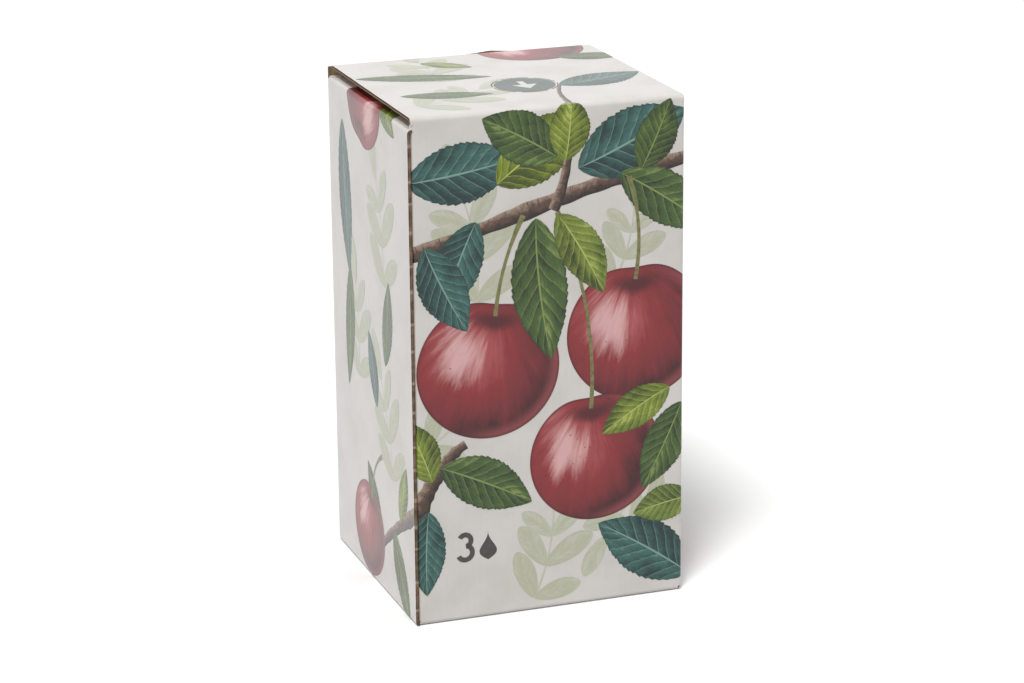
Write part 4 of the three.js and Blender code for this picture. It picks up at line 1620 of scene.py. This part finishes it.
@dataclass
class FilledBag:
    """The full bag with the well that its tap sinks into, the spout's gland and the press tap."""

    axis: tuple[float, float, float] = (5.5 * MM, -15.5 * MM, 201.7 * MM)
    well: float = 16 * MM
    edge: float = 17 * MM
    corner: float = 20 * MM
    well_reach: float = 36 * MM
    well_slope: float = 11 * MM
    creases: int = 23
    crease_depth: float = 0.8 * MM
    crease_reach: float = 38 * MM
    crease_width: float = 12 * MM
    outlet_height: float = 16.2 * MM

    def bag(self, film: bpy.types.Material) -> None:
        """The bag: rings of a rounded rectangle carried up an edge profile and in over the top.

        The top sinks into the tap's well by a smooth step of the distance from its axis. Round the well's rim it
        drops by half of crease_depth * (1 + a sine of the bearing), which fades as a bell of the distance.

        Args:
            film: its finish.
        """
        low, high = np.array(BAG_BOX[0]), np.array(BAG_BOX[1])
        middle, half = (low + high)[:2] / 2, (high - low)[:2] / 2 - 0.1 * MM
        turn = np.linspace(0, QUARTER, 9)
        inset = np.concatenate([[half[1]], self.edge * (1 - np.sin(turn)), self.edge * (1 - np.cos(turn))])
        up = np.concatenate([[low[2]], low[2] + self.edge * (1 - np.cos(turn)),
                             high[2] - 2 * MM - self.edge * (1 - np.sin(turn))])
        inner = np.linspace(self.edge, half[1] - 0.4 * MM, 44)[1:]
        inset, up = np.concatenate([inset, inner]), np.concatenate([up, np.full(len(inner), high[2] - 1.0 * MM)])
        angle = np.linspace(0, 2 * math.pi, 160, endpoint=False)
        radius = np.maximum(self.corner - inset, 1 * MM)[:, None]
        core = np.maximum(half[None, :] - inset[:, None] - radius, 0)
        x = middle[0] + np.sign(np.cos(angle)) * core[:, :1] + radius * np.cos(angle)
        y = middle[1] + np.sign(np.sin(angle)) * core[:, 1:] + radius * np.sin(angle)
        z = up[:, None] + 0 * angle
        away_x, away_y = x - self.axis[0], y - self.axis[1]
        away, bearing = np.hypot(away_x, away_y), np.arctan2(away_y, away_x)
        step = np.clip((self.well_reach - away) / self.well_slope, 0, 1)
        sink = self.well * step * step * (3 - 2 * step)
        fade = np.exp(-((away - self.crease_reach) / self.crease_width) ** 2)
        ripple = self.crease_depth / 2 * (1 + np.sin(bearing * self.creases + 60 * away)) * fade
        top = z > high[2] - 6 * MM
        z = np.where(top, z - sink - ripple, z)
        piece = grid_object("bag_film", np.stack([x, y, z], -1), film, ring=False)
        join(piece, "carton", "bag")

    def tap(self, white: bpy.types.Material, red: bpy.types.Material) -> None:
        """The gland, the tap's body and its button, as lathed and swept shells on the solids' own sizes.

        Args:
            white: the finish of the gland and the body.
            red: the button's finish.
        """
        gland = [(11.8, 0), (22, 0), (22, 1.2), (14, 1.2), (14, 5.0), (17, 5.0), (17, 6.1), (14, 6.1), (14, 8.4),
                 (17, 8.4), (17, 9.5), (11.8, 9.5)]
        join(lathe("spout_neck", self.axis, gland, white), "carton", "spout_gland")
        body = [(9.7, 1.3), (11.5, 1.3), (11.5, 9.8), (15.1, 9.8), (15.1, 11.2), (11.5, 11.2), (11.5, 24.7),
                (9.7, 24.7), (9.7, 11.2), (5, 11.2), (5, 9.8), (9.7, 9.8)]
        angle = np.linspace(0, 2 * math.pi, 48, endpoint=False)
        radius, reach = np.array(rounded([(3.8, 10.2), (5, 10.2), (5, 27), (3.8, 27)], 0.3)).T[..., None] * MM
        tube = np.stack([radius * np.cos(angle), -reach + 0 * angle, radius * np.sin(angle)], -1)
        outlet = np.array(self.axis) + np.array([0, 0, self.outlet_height])
        for piece in (lathe("tap_housing", self.axis, body, white), grid_object("tap_outlet", tube + outlet, white),
                      self.wing("tap_wing_right", 1, white), self.wing("tap_wing_left", -1, white)):
            join(piece, "carton", "tap_body")
        button = [(0, 24.8), (7.5, 24.8), (7.5, 23.6), (9.3, 23.6), (9.3, 26.6), (6.5, 27.64), (5.6, 27.3), (0, 27.9)]
        join(lathe("press_button", self.axis, button, red), "button", "tap_button")

    def wing(self, name: str, way: int, material: bpy.types.Material) -> bpy.types.Object:
        """One finger wing: a plate 2 mm thick that runs from inside the housing's wall to a half-round end.

        Its rows run across it, y = 6.5 * sin(pi / 2 * t); each row is a loop round the plate's edge, from
        sqrt(10.6^2 - y^2) to 12.5 + sqrt(6.5^2 - y^2).

        Args:
            name: the piece's name.
            way: 1 for the right wing, -1 for the left one.
            material: its finish.

        Returns:
            The wing.
        """
        y = 6.5 * np.sin(QUARTER * np.linspace(-1, 1, 33))[:, None]
        start, end = np.sqrt(10.6 ** 2 - y ** 2), 12.5 + np.sqrt(np.maximum(6.5 ** 2 - y ** 2, 0))
        share = np.array([0, 0.5, 0.93, 0.98, 1, 1, 0.98, 0.93, 0.5, 0])
        height = np.array([20.7, 20.7, 20.7, 20.8, 21.1, 22.3, 22.6, 22.7, 22.7, 22.7])
        plate = np.stack([way * (start + share * (end - start)), y + 0 * share, height + 0 * y], -1) * MM
        return grid_object(name, plate + np.array(self.axis), material, ring=False)

    def build(self) -> None:
        """Makes the bag and the tap, and dresses the valve's solids."""
        self.bag(Film().material())
        white = Moulded("tap_white", srgb(228, 226, 220), srgb(219, 216, 209)).material()
        red = Moulded("button_red", srgb(158, 32, 38), srgb(144, 27, 33), 0.32).material()
        self.tap(white, red)
        rubber = Moulded("seal_black", srgb(42, 42, 44), srgb(34, 34, 36), 0.7).material()
        for node, material in (("valve_stem", white), ("valve_seal", rubber)):
            shell = frame["nodes"][node]
            shell.data.materials.clear()
            shell.data.materials.append(material)


# Floor, light and camera

@dataclass
class Studio:
    """A pale floor, soft lamps and the camera."""

    eye: tuple = (-0.4693, -1.3402, 0.5447)
    ahead: tuple = (0.3183, 0.9017, -0.2926)
    roll: float = math.radians(-0.52)
    lens: float = 112.16
    world: float = 0.52
    sun: float = 1.75
    sun_way: tuple = (0.29, 0.38, -0.88)
    sun_angle: float = math.radians(14)
    floor_reach: float = 6.0
    floor_shade: tuple = srgb(203, 203, 203)
    floor_white: tuple = (1.1, 1.1, 1.1, 1.0)

    def floor(self) -> None:
        """A wide floor that reads as white to the camera outside the shadow."""
        graph = Graph("studio_floor")
        graph.end("BsdfDiffuse", {"Color": graph.mix(graph.seen(), self.floor_shade, self.floor_white)})
        mesh = bpy.data.meshes.new("floor")
        side = self.floor_reach
        mesh.from_pydata([(-side, -side, 0), (side, -side, 0), (side, side, 0), (-side, side, 0)], [], [(0, 1, 2, 3)])
        mesh.materials.append(graph.owner)
        placed("floor", mesh)

    def sky(self) -> None:
        """White for the camera and for reflections, and a soft grey for the light."""
        world = bpy.context.scene.world = bpy.data.worlds.new("studio")
        graph = Graph("studio", world)
        strength = graph.term(graph.node("MapRange", {"Value": graph.seen(), "To Min": self.world, "To Max": 1.0}))
        graph.end("Background", {"Color": (1, 1, 1, 1), "Strength": strength}, "OutputWorld")

    def key(self) -> None:
        """A wide soft sun from the upper left of the camera."""
        data = bpy.data.lights.new("key", "SUN")
        data.energy, data.angle = self.sun, self.sun_angle
        placed("key", data).rotation_euler = Vector(self.sun_way).to_track_quat("-Z", "Y").to_euler()

    def camera(self) -> None:
        """The camera at the photograph's place."""
        data = bpy.data.cameras.new("camera")
        data.sensor_width, data.lens = 36, self.lens
        data.clip_start, data.clip_end = 0.05, 50
        camera = placed("camera", data)
        camera.location = self.eye
        camera.rotation_euler = Vector(self.ahead).to_track_quat("-Z", "Y").to_euler()
        camera.rotation_euler.rotate_axis("Z", self.roll)
        bpy.context.scene.camera = camera

    def build(self) -> None:
        """Makes the studio."""
        self.floor()
        self.sky()
        self.key()
        self.camera()
        bpy.context.scene.view_settings.view_transform = "Standard"


def main() -> None:
    """Builds the studio and every piece."""
    logging.basicConfig(level=logging.INFO, format="%(name)s %(message)s")
    Studio().build()
    Carton().build()
    FilledBag().build()


if __name__ == "__main__":
    main()
